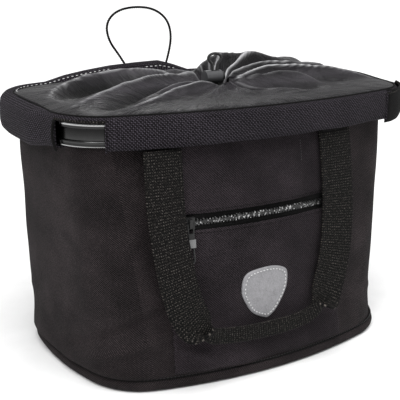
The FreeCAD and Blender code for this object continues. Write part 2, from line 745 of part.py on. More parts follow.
def make_handle(label, centre, facing, lean):
    """A folded webbing handle in its own hanging plane: facing 0 is the front, 180 the rear."""
    half, spread, skin = size("webbing_width") / 2, size("leg_spread"), size("webbing_thickness")
    grip = size("grip_width")
    body = new_body(label + "_body")
    drop = size("grip_drop")
    outer = [(spread + half, -3), (spread + half, -72), (spread + 2.0, -142), (spread - 12, 6 - drop),
             (spread - 33, 0 - drop - grip / 2)]
    inner = [(spread - 36, grip / 2 - drop), (spread - 30, 19 - drop), (spread - half - 10, -138),
             (spread - half - 3.5, -116), (spread - half, -76), (spread - half, -3)]
    outline = outer + [(0 - across, up) for across, up in outer[::-1]]
    outline += [(0 - across, up) for across, up in inner[::-1]] + inner
    sketch = new_sketch(body, label + "_outline", "XZ_Plane", -size("leg_offset") - skin / 2)
    polygon(sketch, outline)
    pad(body, sketch, skin)
    grip_sketch = new_sketch(body, label + "_grip", "XZ_Plane",
                             -size("leg_offset") - size("grip_thickness") / 2)
    polygon(grip_sketch, rectangle(36 - spread, spread - 36, 0 - drop - grip / 2, grip / 2 - drop))
    pad(body, grip_sketch, size("grip_thickness"), name="Grip")
    turned = Rotation(Z_AXIS, facing) * Rotation(X_AXIS, -lean)
    side = -1 if facing == 0 else 1
    body.Placement = Placement(Vector(centre, side * size("swing_y"), size("swing_height")), turned)
    node(body, label)
    anchor_ring = new_body(label + "_anchor_ring")
    top = size("sleeve_bottom") - 0.05
    ring(anchor_ring, label + "_anchor_band", 6.0, size("sleeve_depth") - 1.1, top - skin, top)
    far = size("rim_front") + 5
    stubs = [box(f"{label}_stub_{number}", middle - half, middle + half, *sorted((0, side * far)),
                 top - skin - 1, top + 1)
             for number, middle in enumerate((centre - spread, centre + spread))]
    pieces = [common(f"{label}_anchor_{number}", anchor_ring, stub) for number, stub in enumerate(stubs)]
    node(group(label + "_anchor_group", pieces), label + "_anchors")


# ---- mounting plate, adapter, release button and safety cable ----

def make_plate():
    half, low = size("plate_width") / 2, size("plate_bottom")
    near, thick = size("plate_front"), size("plate_thickness")
    rear = near + thick
    rail_low, rail_high = size("rail_bottom"), size("rail_bottom") + size("rail_height")
    blank = box("plate_blank", -half, half, near, rear, low, low + size("plate_height"))
    stem = box("rail_stem", -8, 8, rear - 0.5, rear + 3.6, rail_low, rail_high)
    head = box("rail_head", -14, 14, rear + 3.4, rear + 7.4, rail_low, rail_high)
    whole = fused("plate_whole", [blank, stem, head])
    node(cut("plate_solid", whole, *screw_holes("plate", 2.6)), "back_plate")
    screws, nuts = [], []
    inside = near - 7.4 - 2
    for number, (across, height) in enumerate(screw_places()):
        shank = cylinder(f"plate_shank_{number}", 2.5, rear - inside + 2.6, across, inside - 2.6, height,
                         Y_AXIS)
        head = cylinder(f"plate_head_{number}", 4.6, 2.6, across, rear, height, Y_AXIS)
        socket = cylinder(f"plate_socket_{number}", 1.7, 2.0, across, rear + 1.0, height, Y_AXIS)
        screws.append(cut(f"plate_screw_{number}", fused(f"plate_screw_blank_{number}", [shank, head]),
                          socket))
        nut = cylinder(f"nut_blank_{number}", 4.8, 3.4, across, inside - 3.4, height, Y_AXIS)
        hole = cylinder(f"nut_hole_{number}", 2.55, 10, across, inside - 8, height, Y_AXIS)
        nuts.append(cut(f"plate_nut_{number}", nut, hole))
    node(group("plate_screw_group", screws), "back_plate_screws")
    node(group("plate_nut_group", nuts), "back_plate_nuts")


def clamp_ring(name, side, low_y, high_y):
    """Half of the ring round the handlebar, with its two screw ears."""
    width = size("clamp_width") / 2
    bar_y, bar_height, radius = size("bar_y"), size("bar_height"), size("clamp_radius")
    middle = side * size("clamp_x")
    disc = cylinder(name + "_disc", radius, size("clamp_width"), middle - width, bar_y, bar_height, X_AXIS)
    ears = [box(f"{name}_ear_{number}", middle - width, middle + width, bar_y - 6, bar_y + 6, low, low + 11)
            for number, low in enumerate((bar_height - radius - 9, bar_height + radius - 2))]
    keep = box(name + "_keep", middle - width - 1, middle + width + 1, low_y, high_y,
               bar_height - 40, bar_height + 40)
    return common(name, fused(name + "_blank", [disc, *ears]), keep)


def clamp_screw_places(side):
    offset = size("clamp_radius") + 4.6
    return [(side * size("clamp_x"), size("bar_height") + direction * offset) for direction in (-1, 1)]


def make_adapter():
    half, low = size("block_width") / 2, size("block_bottom")
    high = low + size("block_height")
    gap = size("slide_gap")
    near = size("plate_front") + size("plate_thickness") + gap
    rear = near + size("block_depth")
    bar_y, bar_height = size("bar_y"), size("bar_height")
    blank = box("adapter_block", -half, half, near, rear, low, high)
    arms, caps, screws, ear_holes = [], [], [], []
    bores = cylinder("bar_bore", size("bar_radius"), 120, -60, bar_y, bar_height, X_AXIS)
    for name, side in (("left", -1), ("right", 1)):
        middle, width = side * size("clamp_x"), size("clamp_width") / 2
        arms.append(box(f"arm_{name}", middle - width, middle + width, rear - 1, bar_y - 8,
                        bar_height - 13, high))
        arms.append(clamp_ring(f"ring_{name}", side, bar_y - 30, bar_y - 0.4))
        holes = [cylinder(f"ear_hole_{name}_{number}", size("screw_radius") + 0.1, 30, across, bar_y - 15,
                          height, Y_AXIS)
                 for number, (across, height) in enumerate(clamp_screw_places(side))]
        ear_holes += holes
        cap = clamp_ring(f"cap_{name}", side, bar_y + 0.4, bar_y + 30)
        caps.append((f"clamp_cap_{name}", cut(f"clamp_cap_{name}_solid", cap, bores, *holes)))
        for number, (across, height) in enumerate(clamp_screw_places(side)):
            shank = cylinder(f"clamp_shank_{name}_{number}", size("screw_radius"), 14, across, bar_y - 7.5,
                             height, Y_AXIS)
            head = cylinder(f"clamp_head_{name}_{number}", 4.2, 4, across, bar_y + 6.05, height, Y_AXIS)
            socket = cylinder(f"clamp_socket_{name}_{number}", 1.9, 3, across, bar_y + 7.6, height, Y_AXIS)
            screws.append(cut(f"clamp_screw_{name}_{number}",
                              fused(f"clamp_screw_blank_{name}_{number}", [shank, head]), socket))
    rail_rear = near - gap
    groove_low = size("rail_bottom") - gap
    stem = box("groove_stem", -8 - gap, 8 + gap, near - 1, rail_rear + 4, groove_low, high + 1)
    head = box("groove_head", -14 - gap, 14 + gap, rail_rear + 3.4 - gap, rail_rear + 7.4 + gap,
               groove_low, high + 1)
    well = box("button_well", -27, -13, near + 10.4, near + 23, high - 22, high + 1)
    ports = [cylinder(f"cable_port_{number}", size("cable_diameter") / 2 + 0.02, 14, across,
                      cable_plane, high - 12, Z_AXIS) for number, across in enumerate(cable_ports)]
    taps = [cylinder(f"cable_tap_{number}", 2.0, 12, across, cable_plane + 1.0, high - 7, Y_AXIS)
            for number, across in enumerate(cable_ports)]
    whole = fused("adapter_whole", [blank, *arms])
    node(cut("adapter_solid", whole, stem, head, well, bores, *ports, *taps, *ear_holes),
         "adapter_housing")
    for label, cap in caps:
        node(cap, label)
    node(group("clamp_screw_group", screws), "clamp_screws")
    grubs = [cylinder(f"grub_{number}", 1.95, rear - cable_plane - 1.6, across, cable_plane + 1.35,
                      high - 7, Y_AXIS) for number, across in enumerate(cable_ports)]
    node(group("grub_group", grubs), "cable_set_screws")
    button = box("button_block", -26.6, -13.4, near + 10.8, near + 22.6, high - 10, high + 5)
    edges = [(number, 1.2, 1.2) for number, edge in enumerate(button_edges(button), start=1) if edge]
    rounded = doc.addObject("Part::Fillet", "button_rounded")
    rounded.Base = button
    rounded.Edges = edges
    node(rounded, "release_button")
    base = Vector(-20, float(near) + 16.7, float(high) - 22)
    coil_spring("button_spring", 4.0, 0.9, 10.8, 5, base + Vector(0, 0, 0.6), Z_AXIS)
    route = [(cable_ports[0], 0, -11), (-8.5, 0, 12), (-17, 0.5, 33), (-30, 1, 53), (-42, 1.5, 69),
             (-44.5, 2, 86), (-33, 3, 98), (-12, 3.5, 102), (11, 3, 99.5), (27, 2, 88), (31.5, 1, 70.5),
             (27.5, 0.5, 51), (20.5, 0, 32), (cable_ports[1], 0.2, 12), (cable_ports[1], 0, -11)]
    tube("safety_cable", [Vector(across, cable_plane + out, float(high) + up) for across, out, up in route],
         float(size("cable_diameter")))


def button_edges(button):
    doc.recompute([button])
    top = button.Shape.BoundBox.ZMax
    return [edge.BoundBox.ZMax > top - 0.01 for edge in button.Shape.Edges]


# ---- places that several sub-parts share ----

outline_body = new_body("rim_outline_body")
outline_sketch = oval(new_sketch(outline_body, "rim_outline"), "rim", 0.0)
doc.recompute()
rim_outline = outline_sketch.Shape
zip_centre = Vector(0, float(size("zip_radius")) - float(size("zip_depth")), 0)
zip_face = float(size("zip_radius"))
zip_half_angle = math.degrees(float(size("zip_half_length")) / zip_face)
slider_angle = math.degrees(float(size("slider_x")) / zip_face)
pull_pin = Vector(0, -zip_face - float(size("pin_reach")), float(size("zip_height")) - 0.5)
slider_turn = Placement(zip_centre, Rotation(Z_AXIS, slider_angle))
pull_place = slider_turn * Placement(pull_pin, Rotation(X_AXIS, -float(size("pull_lean"))))
cable_ports = (-6.0, 16.0)
cable_plane = 121.0

make_frame()
make_sleeves()
make_bag()
make_cover()
tube("drawstring_cord", cord_points(), float(size("cord_diameter")))
make_lock()
make_pocket()
make_zip()
make_slider()
make_pull()
make_handle("front_handle", size("front_handle_x"), 0, 9.9)
make_handle("rear_handle", 0.0, 180, 1.4)
make_plate()
make_adapter()
doc.recompute()

# ---- check and export ----

failed = [thing.Name for thing in doc.Objects if {"Invalid", "Error"} & set(thing.State)]
failed += [thing.Label for thing in NODES
           if thing.Shape.isNull() or not thing.Shape.isValid() or not thing.Shape.Solids]
if failed:
    raise RuntimeError(f"these did not compute: {failed}")
for thing in NODES:
    shape = thing.Shape
    shape.exportStep(f"parts/{thing.Label}.step")
    box_here = shape.BoundBox
    print(f"{thing.Label}: {len(shape.Solids)} solids, {shape.Volume:.0f} mm3,",
          f"x {box_here.XMin:.1f}..{box_here.XMax:.1f}, y {box_here.YMin:.1f}..{box_here.YMax:.1f},",
          f"z {box_here.ZMin:.1f}..{box_here.ZMax:.1f}")
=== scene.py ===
"""The looks of the handlebar basket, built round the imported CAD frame. Lengths are in millimetres until
a mesh is made, and every place is in the row's own frame: x to the right, -y to the front, z up."""
import math

import bpy
import numpy as np
from mathutils import Matrix, Vector, noise


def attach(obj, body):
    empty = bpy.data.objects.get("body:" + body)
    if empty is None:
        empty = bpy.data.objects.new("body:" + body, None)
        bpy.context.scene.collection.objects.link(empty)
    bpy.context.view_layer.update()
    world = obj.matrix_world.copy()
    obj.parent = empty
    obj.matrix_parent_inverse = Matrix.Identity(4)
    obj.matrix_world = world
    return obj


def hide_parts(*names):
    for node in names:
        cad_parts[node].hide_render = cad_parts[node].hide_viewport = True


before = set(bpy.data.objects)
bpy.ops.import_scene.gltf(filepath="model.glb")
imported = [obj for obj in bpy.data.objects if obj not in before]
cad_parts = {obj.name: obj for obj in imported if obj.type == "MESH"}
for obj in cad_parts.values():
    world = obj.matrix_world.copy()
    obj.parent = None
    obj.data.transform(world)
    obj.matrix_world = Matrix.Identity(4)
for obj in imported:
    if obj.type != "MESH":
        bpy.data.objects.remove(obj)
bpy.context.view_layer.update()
MM = 0.001
ROOT = "basket"

# ---- camera ----


def add_camera():
    """The camera, at its viewing angle: a little above the object and to its front left."""
    azimuth, elevation, roll = (math.radians(angle) for angle in (-31.7, 16.53, 0.72))
    back = Vector((math.sin(azimuth) * math.cos(elevation), -math.cos(azimuth) * math.cos(elevation),
                   math.sin(elevation)))
    level = Vector((math.cos(azimuth), math.sin(azimuth), 0))
    above = level.cross(-back)
    right = level * math.cos(roll) + above * math.sin(roll)
    up = above * math.cos(roll) - level * math.sin(roll)
    place = level * -0.005 + Vector((0, 0, 0.1254)) + back * 0.8718
    data = bpy.data.cameras.new("camera")
    data.sensor_width = 36
    data.lens = 80.48
    camera = bpy.data.objects.new("camera", data)
    bpy.context.scene.collection.objects.link(camera)
    turned = Matrix((right, up, back)).transposed()
    camera.matrix_world = Matrix.Translation(place) @ turned.to_4x4()
    bpy.context.scene.camera = camera


add_camera()

# ---- node materials ----


class Recipe:
    """One procedural material, with short calls for the nodes that it is made of."""

    def __init__(self, name, roughness, metallic=0.0, **sockets):
        self.material = bpy.data.materials.new(name)
        self.material.use_nodes = True
        self.tree = self.material.node_tree
        self.shader = self.tree.nodes["Principled BSDF"]
        self.shader.inputs["Roughness"].default_value = roughness
        self.shader.inputs["Metallic"].default_value = metallic
        for socket, value in sockets.items():
            self.shader.inputs[socket.replace("_", " ")].default_value = value

    def node(self, kind, **inputs):
        made = self.tree.nodes.new("ShaderNode" + kind)
        for key, value in inputs.items():
            self.feed(made.inputs[key.replace("_", " ")], value)
        return made

    def feed(self, socket, value):
        if isinstance(value, bpy.types.NodeSocket):
            self.tree.links.new(value, socket)
        else:
            socket.default_value = value

    def maths(self, operation, first, second=0.0):
        made = self.tree.nodes.new("ShaderNodeMath")
        made.operation = operation
        self.feed(made.inputs[0], first)
        self.feed(made.inputs[1], second)
        return made.outputs[0]

    def place(self, kind="UV"):
        """The surface's own coordinates, in metres: UV on made pieces, Object on CAD nodes."""
        return self.tree.nodes.new("ShaderNodeTexCoord").outputs[kind]

    def noise(self, vector, scale, detail=3.0, rough=0.55):
        made = self.node("TexNoise", Vector=vector, Scale=scale, Detail=detail, Roughness=rough)
        return made.outputs["Fac"]

    def ramp(self, value, stops):
        made = self.tree.nodes.new("ShaderNodeValToRGB")
        self.feed(made.inputs["Fac"], value)
        elements = made.color_ramp.elements
        while len(elements) < len(stops):
            elements.new(0.5)
        for element, (at, colour) in zip(elements, stops):
            element.position = at
            element.color = (*colour, 1.0)
        return made.outputs["Color"]

    def levels(self, colour, place, bottom, top, stops):
        """The colour, made darker or brighter at different heights: stops of height and factor."""
        height = self.node("SeparateXYZ", Vector=place).outputs[2]
        share = self.maths("DIVIDE", self.maths("SUBTRACT", height, bottom), top - bottom)
        places = [((level - bottom) / (top - bottom), (factor,) * 3) for level, factor in stops]
        shade = self.ramp(share, places)
        return self.mix("MULTIPLY", 1.0, colour, shade)

    def mix(self, kind, share, first, second):
        mixed = self.tree.nodes.new("ShaderNodeMix")
        mixed.data_type = "RGBA"
        mixed.blend_type = kind
        mixed.clamp_factor = True
        self.feed(mixed.inputs["Factor"], share)
        self.feed(mixed.inputs[6], first)
        self.feed(mixed.inputs[7], second)
        return mixed.outputs[2]

    def bump(self, height, distance, strength=1.0, normal=None):
        made = self.node("Bump", Height=height, Distance=distance, Strength=strength)
        if normal is not None:
            self.feed(made.inputs["Normal"], normal)
        return made.outputs["Normal"]

    def finish(self, colour, normal, roughness=None):
        self.feed(self.shader.inputs["Base Color"], colour)
        self.feed(self.shader.inputs["Normal"], normal)
        if roughness is not None:
            self.feed(self.shader.inputs["Roughness"], roughness)
        return self.material


def shades(colour, *factors):
    return [tuple(min(1.0, channel * factor) for channel in colour) for factor in factors]


def woven(name, colour, pitch, depth, roughness=0.9, ratio=1.35, slow_share=0.5, spread=1.0, kind="UV"):
    """A plain weave seen on the slant: two crossing sets of yarns, fuzz, and slow shade changes."""
    made = Recipe(name, roughness, Sheen_Weight=0.01, Specular_IOR_Level=0.1)
    place = made.place(kind)
    parts = made.node("SeparateXYZ", Vector=place).outputs
    across, along = parts[0], parts[1]
    if kind != "UV":
        across, along = made.maths("ADD", parts[0], parts[1]), parts[2]
    turn = math.tau / pitch
    wobble = made.maths("MULTIPLY", made.noise(place, 160.0, 2.0), 2.4)
    sum_turn = made.maths("ADD", made.maths("MULTIPLY", made.maths("ADD", across, along), turn), wobble)
    warp = made.maths("SINE", sum_turn)
    weft = made.maths("SINE", made.maths("MULTIPLY", made.maths("SUBTRACT", across, along), turn * ratio))
    yarns = made.maths("ADD", made.maths("MULTIPLY", made.maths("MULTIPLY", warp, weft), 0.34),
                       made.maths("MULTIPLY", warp, 0.2))
    fuzz = made.noise(place, 1.5 / pitch, 4.0, 0.75)
    height = made.maths("ADD", yarns, fuzz)
    slow = made.noise(place, 17.0, 5.0, 0.6)
    value = made.maths("ADD", height, made.maths("MULTIPLY", made.maths("SUBTRACT", slow, 0.5), slow_share))
    low, middle, high = shades(colour, max(0.05, 1 - 0.85 * spread), 0.9, 1 + 3.2 * spread)
    tone = made.ramp(value, [(0.28, low), (0.54, middle), (0.88, high)])
    soft = made.bump(slow, 0.0022, 0.45)
    rough = made.maths("ADD", made.maths("MULTIPLY", fuzz, 0.1), roughness - 0.1)
    return made.finish(tone, made.bump(height, depth, 0.9, soft), rough)


def ribbed(name, colour, pitch, depth, kind="UV"):
    """Heavy webbing: ribs across its width, split into knuckles by the lengthwise yarns, with pale flecks."""
    made = Recipe(name, 0.85, Specular_IOR_Level=0.15)
    place = made.place(kind)
    parts = made.node("SeparateXYZ", Vector=place).outputs
    turn = math.tau / pitch
    shift = made.maths("MULTIPLY", made.noise(place, 260.0, 2.0), 3.4)
    rib = made.maths("SINE", made.maths("ADD", made.maths("MULTIPLY", parts[1], turn), shift))
    yarn = made.maths("SINE", made.maths("ADD", made.maths("MULTIPLY", parts[0], turn * 1.12), shift))
    knuckles = made.maths("ADD", made.maths("MULTIPLY", rib, 0.06),
                          made.maths("MULTIPLY", made.maths("MULTIPLY", rib, yarn), 0.1))
    fuzz = made.noise(place, 1.5 / pitch, 3.0, 0.8)
    height = made.maths("ADD", knuckles, fuzz)
    low, middle, high, fleck = shades(colour, 0.05, 0.5, 3.0, 17.0)
    tone = made.ramp(height, [(0.4, low), (0.52, middle), (0.62, high), (0.7, fleck)])
    slow = made.noise(place, 40.0, 2.0)
    return made.finish(tone, made.bump(height, depth, 1.0, made.bump(slow, 0.001, 0.3)))


def coated(name, colour, roughness):
    """Thin coated nylon: a faint square grid, fine creases drawn towards the gathers, a satin gloss, painted
    shade and highlight by height, and painted highlights along the crests of its folds.
    """
    made = Recipe(name, roughness, Specular_IOR_Level=0.17)
    place = made.place()
    parts = made.node("SeparateXYZ", Vector=place).outputs
    turn = math.tau / 0.0012
    yarns = made.maths("MULTIPLY", made.maths("SINE", made.maths("MULTIPLY", parts[0], turn)),
                       made.maths("SINE", made.maths("MULTIPLY", parts[1], turn)))
    drawn = made.node("Mapping", Vector=place, Scale=(62.0, 15.0, 1.0)).outputs[0]
    creases = made.node("TexNoise", Vector=drawn, Scale=1.0, Detail=5.0, Roughness=0.62, Distortion=0.9)
    crumple = made.node("TexNoise", Vector=place, Scale=46.0, Detail=4.0, Roughness=0.6, Distortion=1.6)
    folds = made.maths("ADD", made.maths("MULTIPLY", creases.outputs["Fac"], 1.3), crumple.outputs["Fac"])
    value = made.maths("ADD", made.maths("MULTIPLY", folds, 0.42), made.maths("MULTIPLY", yarns, 0.05))
    tone = made.ramp(value, list(zip((0.3, 0.48, 0.66), shades(colour, 0.55, 1.0, 1.7))))
    # Painted shade and highlight by height, from the cover's height stops.
    tone = made.levels(tone, made.place("Object"), 0.225, 0.275, COVER_PAINTED_SHADE_AND_HIGHLIGHT)
    # Painted highlight along the crests of the folds: a pale colour mixed in by a mesh attribute.
    painted_highlight = made.tree.nodes.new("ShaderNodeAttribute")
    painted_highlight.attribute_name = "fold_painted_highlight"
    blotches = made.maths("ADD", made.noise(place, 90.0, 3.0), 0.35)
    patchy = made.maths("MULTIPLY", painted_highlight.outputs["Fac"], blotches)
    tone = made.mix("MIX", patchy, tone, (0.85, 0.85, 0.87, 1.0))
    rough = made.maths("ADD", made.maths("MULTIPLY", crumple.outputs["Fac"], 0.16), roughness - 0.07)
    normal = made.bump(yarns, 0.00008, 0.5, made.bump(folds, 0.0034, 0.6))
    return made.finish(tone, normal, rough)


def moulded(name, colour, roughness=0.5, grain=1900.0, kind="Object"):
    """Moulded plastic: a fine spark-eroded texture, scuffs, and corners worn slightly paler."""
    made = Recipe(name, roughness)
    place = made.place(kind)
    texture = made.noise(place, grain, 2.0)
    scuffs = made.noise(place, 90.0, 6.0, 0.7)
    pointed = made.node("NewGeometry").outputs["Pointiness"]
    edges = made.maths("MULTIPLY", made.maths("SUBTRACT", pointed, 0.5), 5.0)
    value = made.maths("ADD", made.maths("MULTIPLY", scuffs, 0.8), edges)
    tone = made.ramp(value, list(zip((0.25, 0.6, 0.95), shades(colour, 0.75, 1.05, 1.9))))
    rough = made.maths("ADD", made.maths("MULTIPLY", scuffs, 0.2), roughness - 0.1)
    return made.finish(tone, made.bump(texture, 0.00012, 0.5), rough)


def toothed(name):
    """Plastic zip teeth: black, with painted glints here and there, pale flecks in a coarse noise."""
    made = Recipe(name, 0.3)
    place = made.place("Object")
    coarse = made.noise(place, 470.0, 2.0, 0.6)
    # The pale end of the ramp is painted glints.
    tone = made.ramp(coarse, [(0.5, (0.004,) * 3), (0.58, (0.02,) * 3), (0.66, (0.5,) * 3)])
    return made.finish(tone, made.bump(coarse, 0.0003, 0.5))


def metal(name, colour, roughness, lines=0.0, kind="Object", stops=None):
    """Bare or plated metal: fine lines along its length, soft blotches in its polish, and, where stops are
    given, painted shade and highlight by height.
    """
    made = Recipe(name, roughness, 1.0)
    place = made.place(kind)
    stretched = made.node("Mapping", Vector=place, Scale=(90.0, 90.0, 2600.0 if lines else 600.0))
    grain = made.noise(stretched.outputs[0], 1.0, 4.0, 0.7)
    blotch = made.noise(place, 60.0, 4.0, 0.6)
    tone = made.ramp(blotch, [(0.3, shades(colour, 0.85)[0]), (0.7, shades(colour, 1.08)[0])])
    # Painted shade and highlight by height, from the stops.
    if stops is not None:
        tone = made.levels(tone, place, 0.2, 0.24, stops)
    rough = made.maths("ADD", made.maths("MULTIPLY", grain, 0.25), roughness - 0.1)
    return made.finish(tone, made.bump(grain, 0.00004, 0.5), rough)


def reflective(name, colour):
    """Reflective sheet: tiny glass beads in a grey film, scratched by use."""
    made = Recipe(name, 0.45, Sheen_Weight=0.1)
    place = made.place()
    beads = made.node("TexVoronoi", Vector=place, Scale=900.0).outputs["Distance"]
    wear_and_highlight = made.noise(place, 120.0, 6.0, 0.75)
    value = made.maths("ADD", made.maths("MULTIPLY", beads, 0.35), made.maths("MULTIPLY", wear_and_highlight, 0.8))
    tone = made.ramp(value, list(zip((0.3, 0.55, 0.85), shades(colour, 0.68, 1.0, 1.3))))
    return made.finish(tone, made.bump(beads, 0.0002, 0.6))


def braided(name, colour, pitch, kind="UV"):
    """A braided sheath: two sets of strands crossing round the cord."""
    made = Recipe(name, 0.7, Sheen_Weight=0.2)
    parts = made.node("SeparateXYZ", Vector=made.place(kind)).outputs
    turn = math.tau / pitch
    one = made.maths("SINE", made.maths("MULTIPLY", made.maths("ADD", parts[0], parts[1]), turn))
    two = made.maths("SINE", made.maths("MULTIPLY", made.maths("SUBTRACT", parts[0], parts[1]), turn))
    height = made.maths("ADD", made.maths("MULTIPLY", made.maths("MULTIPLY", one, two), 0.5), 0.5)
    tone = made.ramp(height, [(0.1, shades(colour, 0.3)[0]), (0.8, shades(colour, 2.0)[0])])
    return made.finish(tone, made.bump(height, 0.0003, 0.9))


# Painted shade and highlight on the rim's section by height: dark in its groove and below its lower bead,
# bright on the crests of its two beads.
RIM_PAINTED_SHADE_AND_HIGHLIGHT = [(0.2095, 0.08), (0.211, 0.9), (0.2124, 0.9), (0.2132, 0.05), (0.2146, 0.05), (0.2158, 0.1),
              (0.218, 0.08), (0.2215, 0.05), (0.2252, 0.03), (0.2262, 0.03), (0.2276, 0.06), (0.2288, 0.06),
              (0.2292, 0.1), (0.2298, 1.0), (0.2345, 1.0), (0.236, 1.0)]

# Painted shade and highlight on the cover by height: darkest in its low hollows, brightest near the crests of
# its lower folds, and dark again on its high hump.
COVER_PAINTED_SHADE_AND_HIGHLIGHT = [(0.228, 0.03), (0.2345, 0.04), (0.2372, 0.22), (0.241, 0.36), (0.245, 0.85), (0.249, 0.6),
                 (0.253, 0.22), (0.262, 0.12), (0.272, 0.1)]

BODY_CLOTH = woven("body_cloth", (0.0135, 0.0108, 0.0113), 0.0021, 0.0006, slow_share=0.75, spread=1.5)
FRONT_CLOTH = woven("front_cloth", (0.0128, 0.0102, 0.0118), 0.0021, 0.0005, slow_share=0.7, spread=1.4)
BAND_CLOTH = woven("band_cloth", (0.0145, 0.0125, 0.0155), 0.003, 0.0009, ratio=1.0, slow_share=0.35,
                   spread=1.3)
BINDING = woven("binding_cloth", (0.004, 0.0038, 0.0038), 0.0014, 0.0003)
ANCHOR = woven("anchor_cloth", (0.004, 0.0038, 0.0038), 0.0014, 0.0003, kind="Object")
WEBBING = ribbed("webbing_cloth", (0.0058, 0.0052, 0.0047), 0.0024, 0.001)
NYLON = coated("cover_nylon", (0.036, 0.033, 0.038), 0.33)
THREAD = braided("sewing_thread", (0.012, 0.011, 0.012), 0.0012)
PALE_THREAD = braided("pale_thread", (0.5, 0.5, 0.51), 0.0012)
SHEATH = braided("cord_sheath", (0.005, 0.005, 0.005), 0.0016)
WIRE = metal("safety_wire", (0.012, 0.012, 0.012), 0.6, kind="UV")
REFLECTIVE = reflective("reflective_sheet", (0.225, 0.222, 0.232))
GREY_PLASTIC = moulded("grey_plastic", (0.036, 0.036, 0.038), 0.38)
TAB_PLASTIC = moulded("tab_plastic", (0.085, 0.085, 0.087), 0.5)
BLACK_PLASTIC = moulded("black_plastic", (0.009, 0.009, 0.0095), 0.42)
TEETH = toothed("zip_teeth_plastic")
TAPE = woven("zip_tape_cloth", (0.004, 0.004, 0.004), 0.0011, 0.0002, kind="Object")
BOARD = moulded("grey_board", (0.12, 0.12, 0.12), 0.7)
ALUMINIUM = metal("frame_aluminium", (0.62, 0.62, 0.62), 0.2, lines=1.0, stops=RIM_PAINTED_SHADE_AND_HIGHLIGHT)
STEEL = metal("zinc_steel", (0.5, 0.5, 0.51), 0.3)
DARK_METAL = moulded("dark_enamel", (0.004, 0.004, 0.004), 0.6)

# ---- meshes ----


def add_mesh(name, vertices, faces, corners, material, slot, body=ROOT, skin=0.0, subdivide=0):
    """A smooth piece from points in mm; corners holds one UV pair, in mm, for each face corner."""
    mesh = bpy.data.meshes.new(name)
    mesh.from_pydata([tuple(float(value) * MM for value in point) for point in vertices], [], faces)
    layer = mesh.uv_layers.new(name="UVMap")
    flat = np.array(corners, dtype=float).reshape(-1) * MM
    layer.data.foreach_set("uv", flat)
    mesh.polygons.foreach_set("use_smooth", [True] * len(mesh.polygons))
    mesh.materials.append(material)
    mesh.validate()
    made = bpy.data.objects.new(name, mesh)
    bpy.context.scene.collection.objects.link(made)
    if skin:
        solid = made.modifiers.new("skin", "SOLIDIFY")
        solid.thickness = skin * MM
        solid.offset = -1.0
        solid.use_rim = True
    if subdivide:
        finer = made.modifiers.new("finer", "SUBSURF")
        finer.levels = finer.render_levels = subdivide
    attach(made, body)
    return made


def grid(name, rows, u, v, material, slot, closed=False, keep=None, **options):
    """A sheet of quads from rows of points; u has one value for each column, v one for each row."""
    rows = np.asarray(rows, dtype=float)
    count, columns = rows.shape[:2]
    faces, corners = [], []
    for row in range(count - 1):
        for column in range(columns if closed else columns - 1):
            following = (column + 1) % columns
            if keep is not None and not keep(row, column):
                continue
            faces.append((row * columns + column, row * columns + following,
                          (row + 1) * columns + following, (row + 1) * columns + column))
            corners += [(u[column], v[row]), (u[column + 1], v[row]),
                        (u[column + 1], v[row + 1]), (u[column], v[row + 1])]
    return add_mesh(name, rows.reshape(-1, 3), faces, corners, material, slot, **options)


def lengths(points, closed=False):
    """Running length along a row of points, with the way back to the first one if it is closed."""
    points = np.asarray(points, dtype=float)
    if closed:
        points = np.vstack([points, points[:1]])
    steps = np.linalg.norm(np.diff(points, axis=0), axis=1)
    return np.concatenate([[0.0], np.cumsum(steps)])


def smooth_path(points, steps=8, closed=False):
    """Catmull-Rom points through a given route."""
    points = [np.asarray(point, dtype=float) for point in points]
    if closed:
        points = [points[-1], *points, points[0], points[1]]
    else:
        points = [2 * points[0] - points[1], *points, 2 * points[-1] - points[-2]]
    made = []
    for before, start, end, after in zip(points, points[1:], points[2:], points[3:]):
        for step in range(steps):
            t = step / steps
            squared = 2 * before - 5 * start + 4 * end - after
            cubed = 3 * start - before - 3 * end + after
            made.append(0.5 * (2 * start + (end - before) * t + squared * t**2 + cubed * t**3))
    if not closed:
        made.append(points[-2])
    return np.array(made)


def frames_along(points):
    """Tangents and two cross directions along a path, carried along without twisting."""
    points = np.asarray(points, dtype=float)
    tangents = np.gradient(points, axis=0)
    tangents /= np.linalg.norm(tangents, axis=1)[:, None]
    side = np.cross(tangents[0], (0.0, 0.0, 1.0) if abs(tangents[0][2]) < 0.9 else (1.0, 0.0, 0.0))
    sides = []
    for tangent in tangents:
        side = side - tangent * np.dot(side, tangent)
        side = side / np.linalg.norm(side)
        sides.append(side)
    sides = np.array(sides)
    return tangents, sides, np.cross(tangents, sides)


def ring_of(centre, first, second, radius, sides):
    """Points round a centre, in the plane of two directions."""
    angles = [math.tau * side / sides for side in range(sides)]
    return [centre + (first * math.cos(angle) + second * math.sin(angle)) * radius for angle in angles]


def join_rings(base, stops, sides, width):
    """Faces between the rings at each stop, and their UV corners, for faces of one width."""
    faces, corners = [], []
    for number in range(len(stops) - 1):
        low = base + number * sides
        for side in range(sides):
            following = (side + 1) % sides
            faces.append((low + side, low + following, low + sides + following, low + sides + side))
            corners += [(side * width, stops[number]), (side * width + width, stops[number]),
                        (side * width + width, stops[number + 1]), (side * width, stops[number + 1])]
    return faces, corners


def along_run(run, values, stops):
    """The values, given at each running length, read at other lengths."""
    return np.array([np.interp(stops, run, values[:, axis]) for axis in range(3)]).T


def tube(name, points, radius, material, slot, sides=10, body=ROOT, closed_ends=True):
    """A round cord or piping along a path, with its ends drawn in."""
    points = np.asarray(points, dtype=float)
    _, one, two = frames_along(points)
    radii = np.full(len(points), float(radius))
    if closed_ends:
        points = np.vstack([points[:1], points, points[-1:]])
        one = np.vstack([one[:1], one, one[-1:]])
        two = np.vstack([two[:1], two, two[-1:]])
        radii = np.concatenate([[radius * 0.05], radii, [radius * 0.05]])
    rows = [ring_of(*spot, sides) for spot in zip(points, one, two, radii)]
    around = [math.tau * radius * side / sides for side in range(sides + 1)]
    return grid(name, rows, around, lengths(points), material, slot, closed=True, body=body)


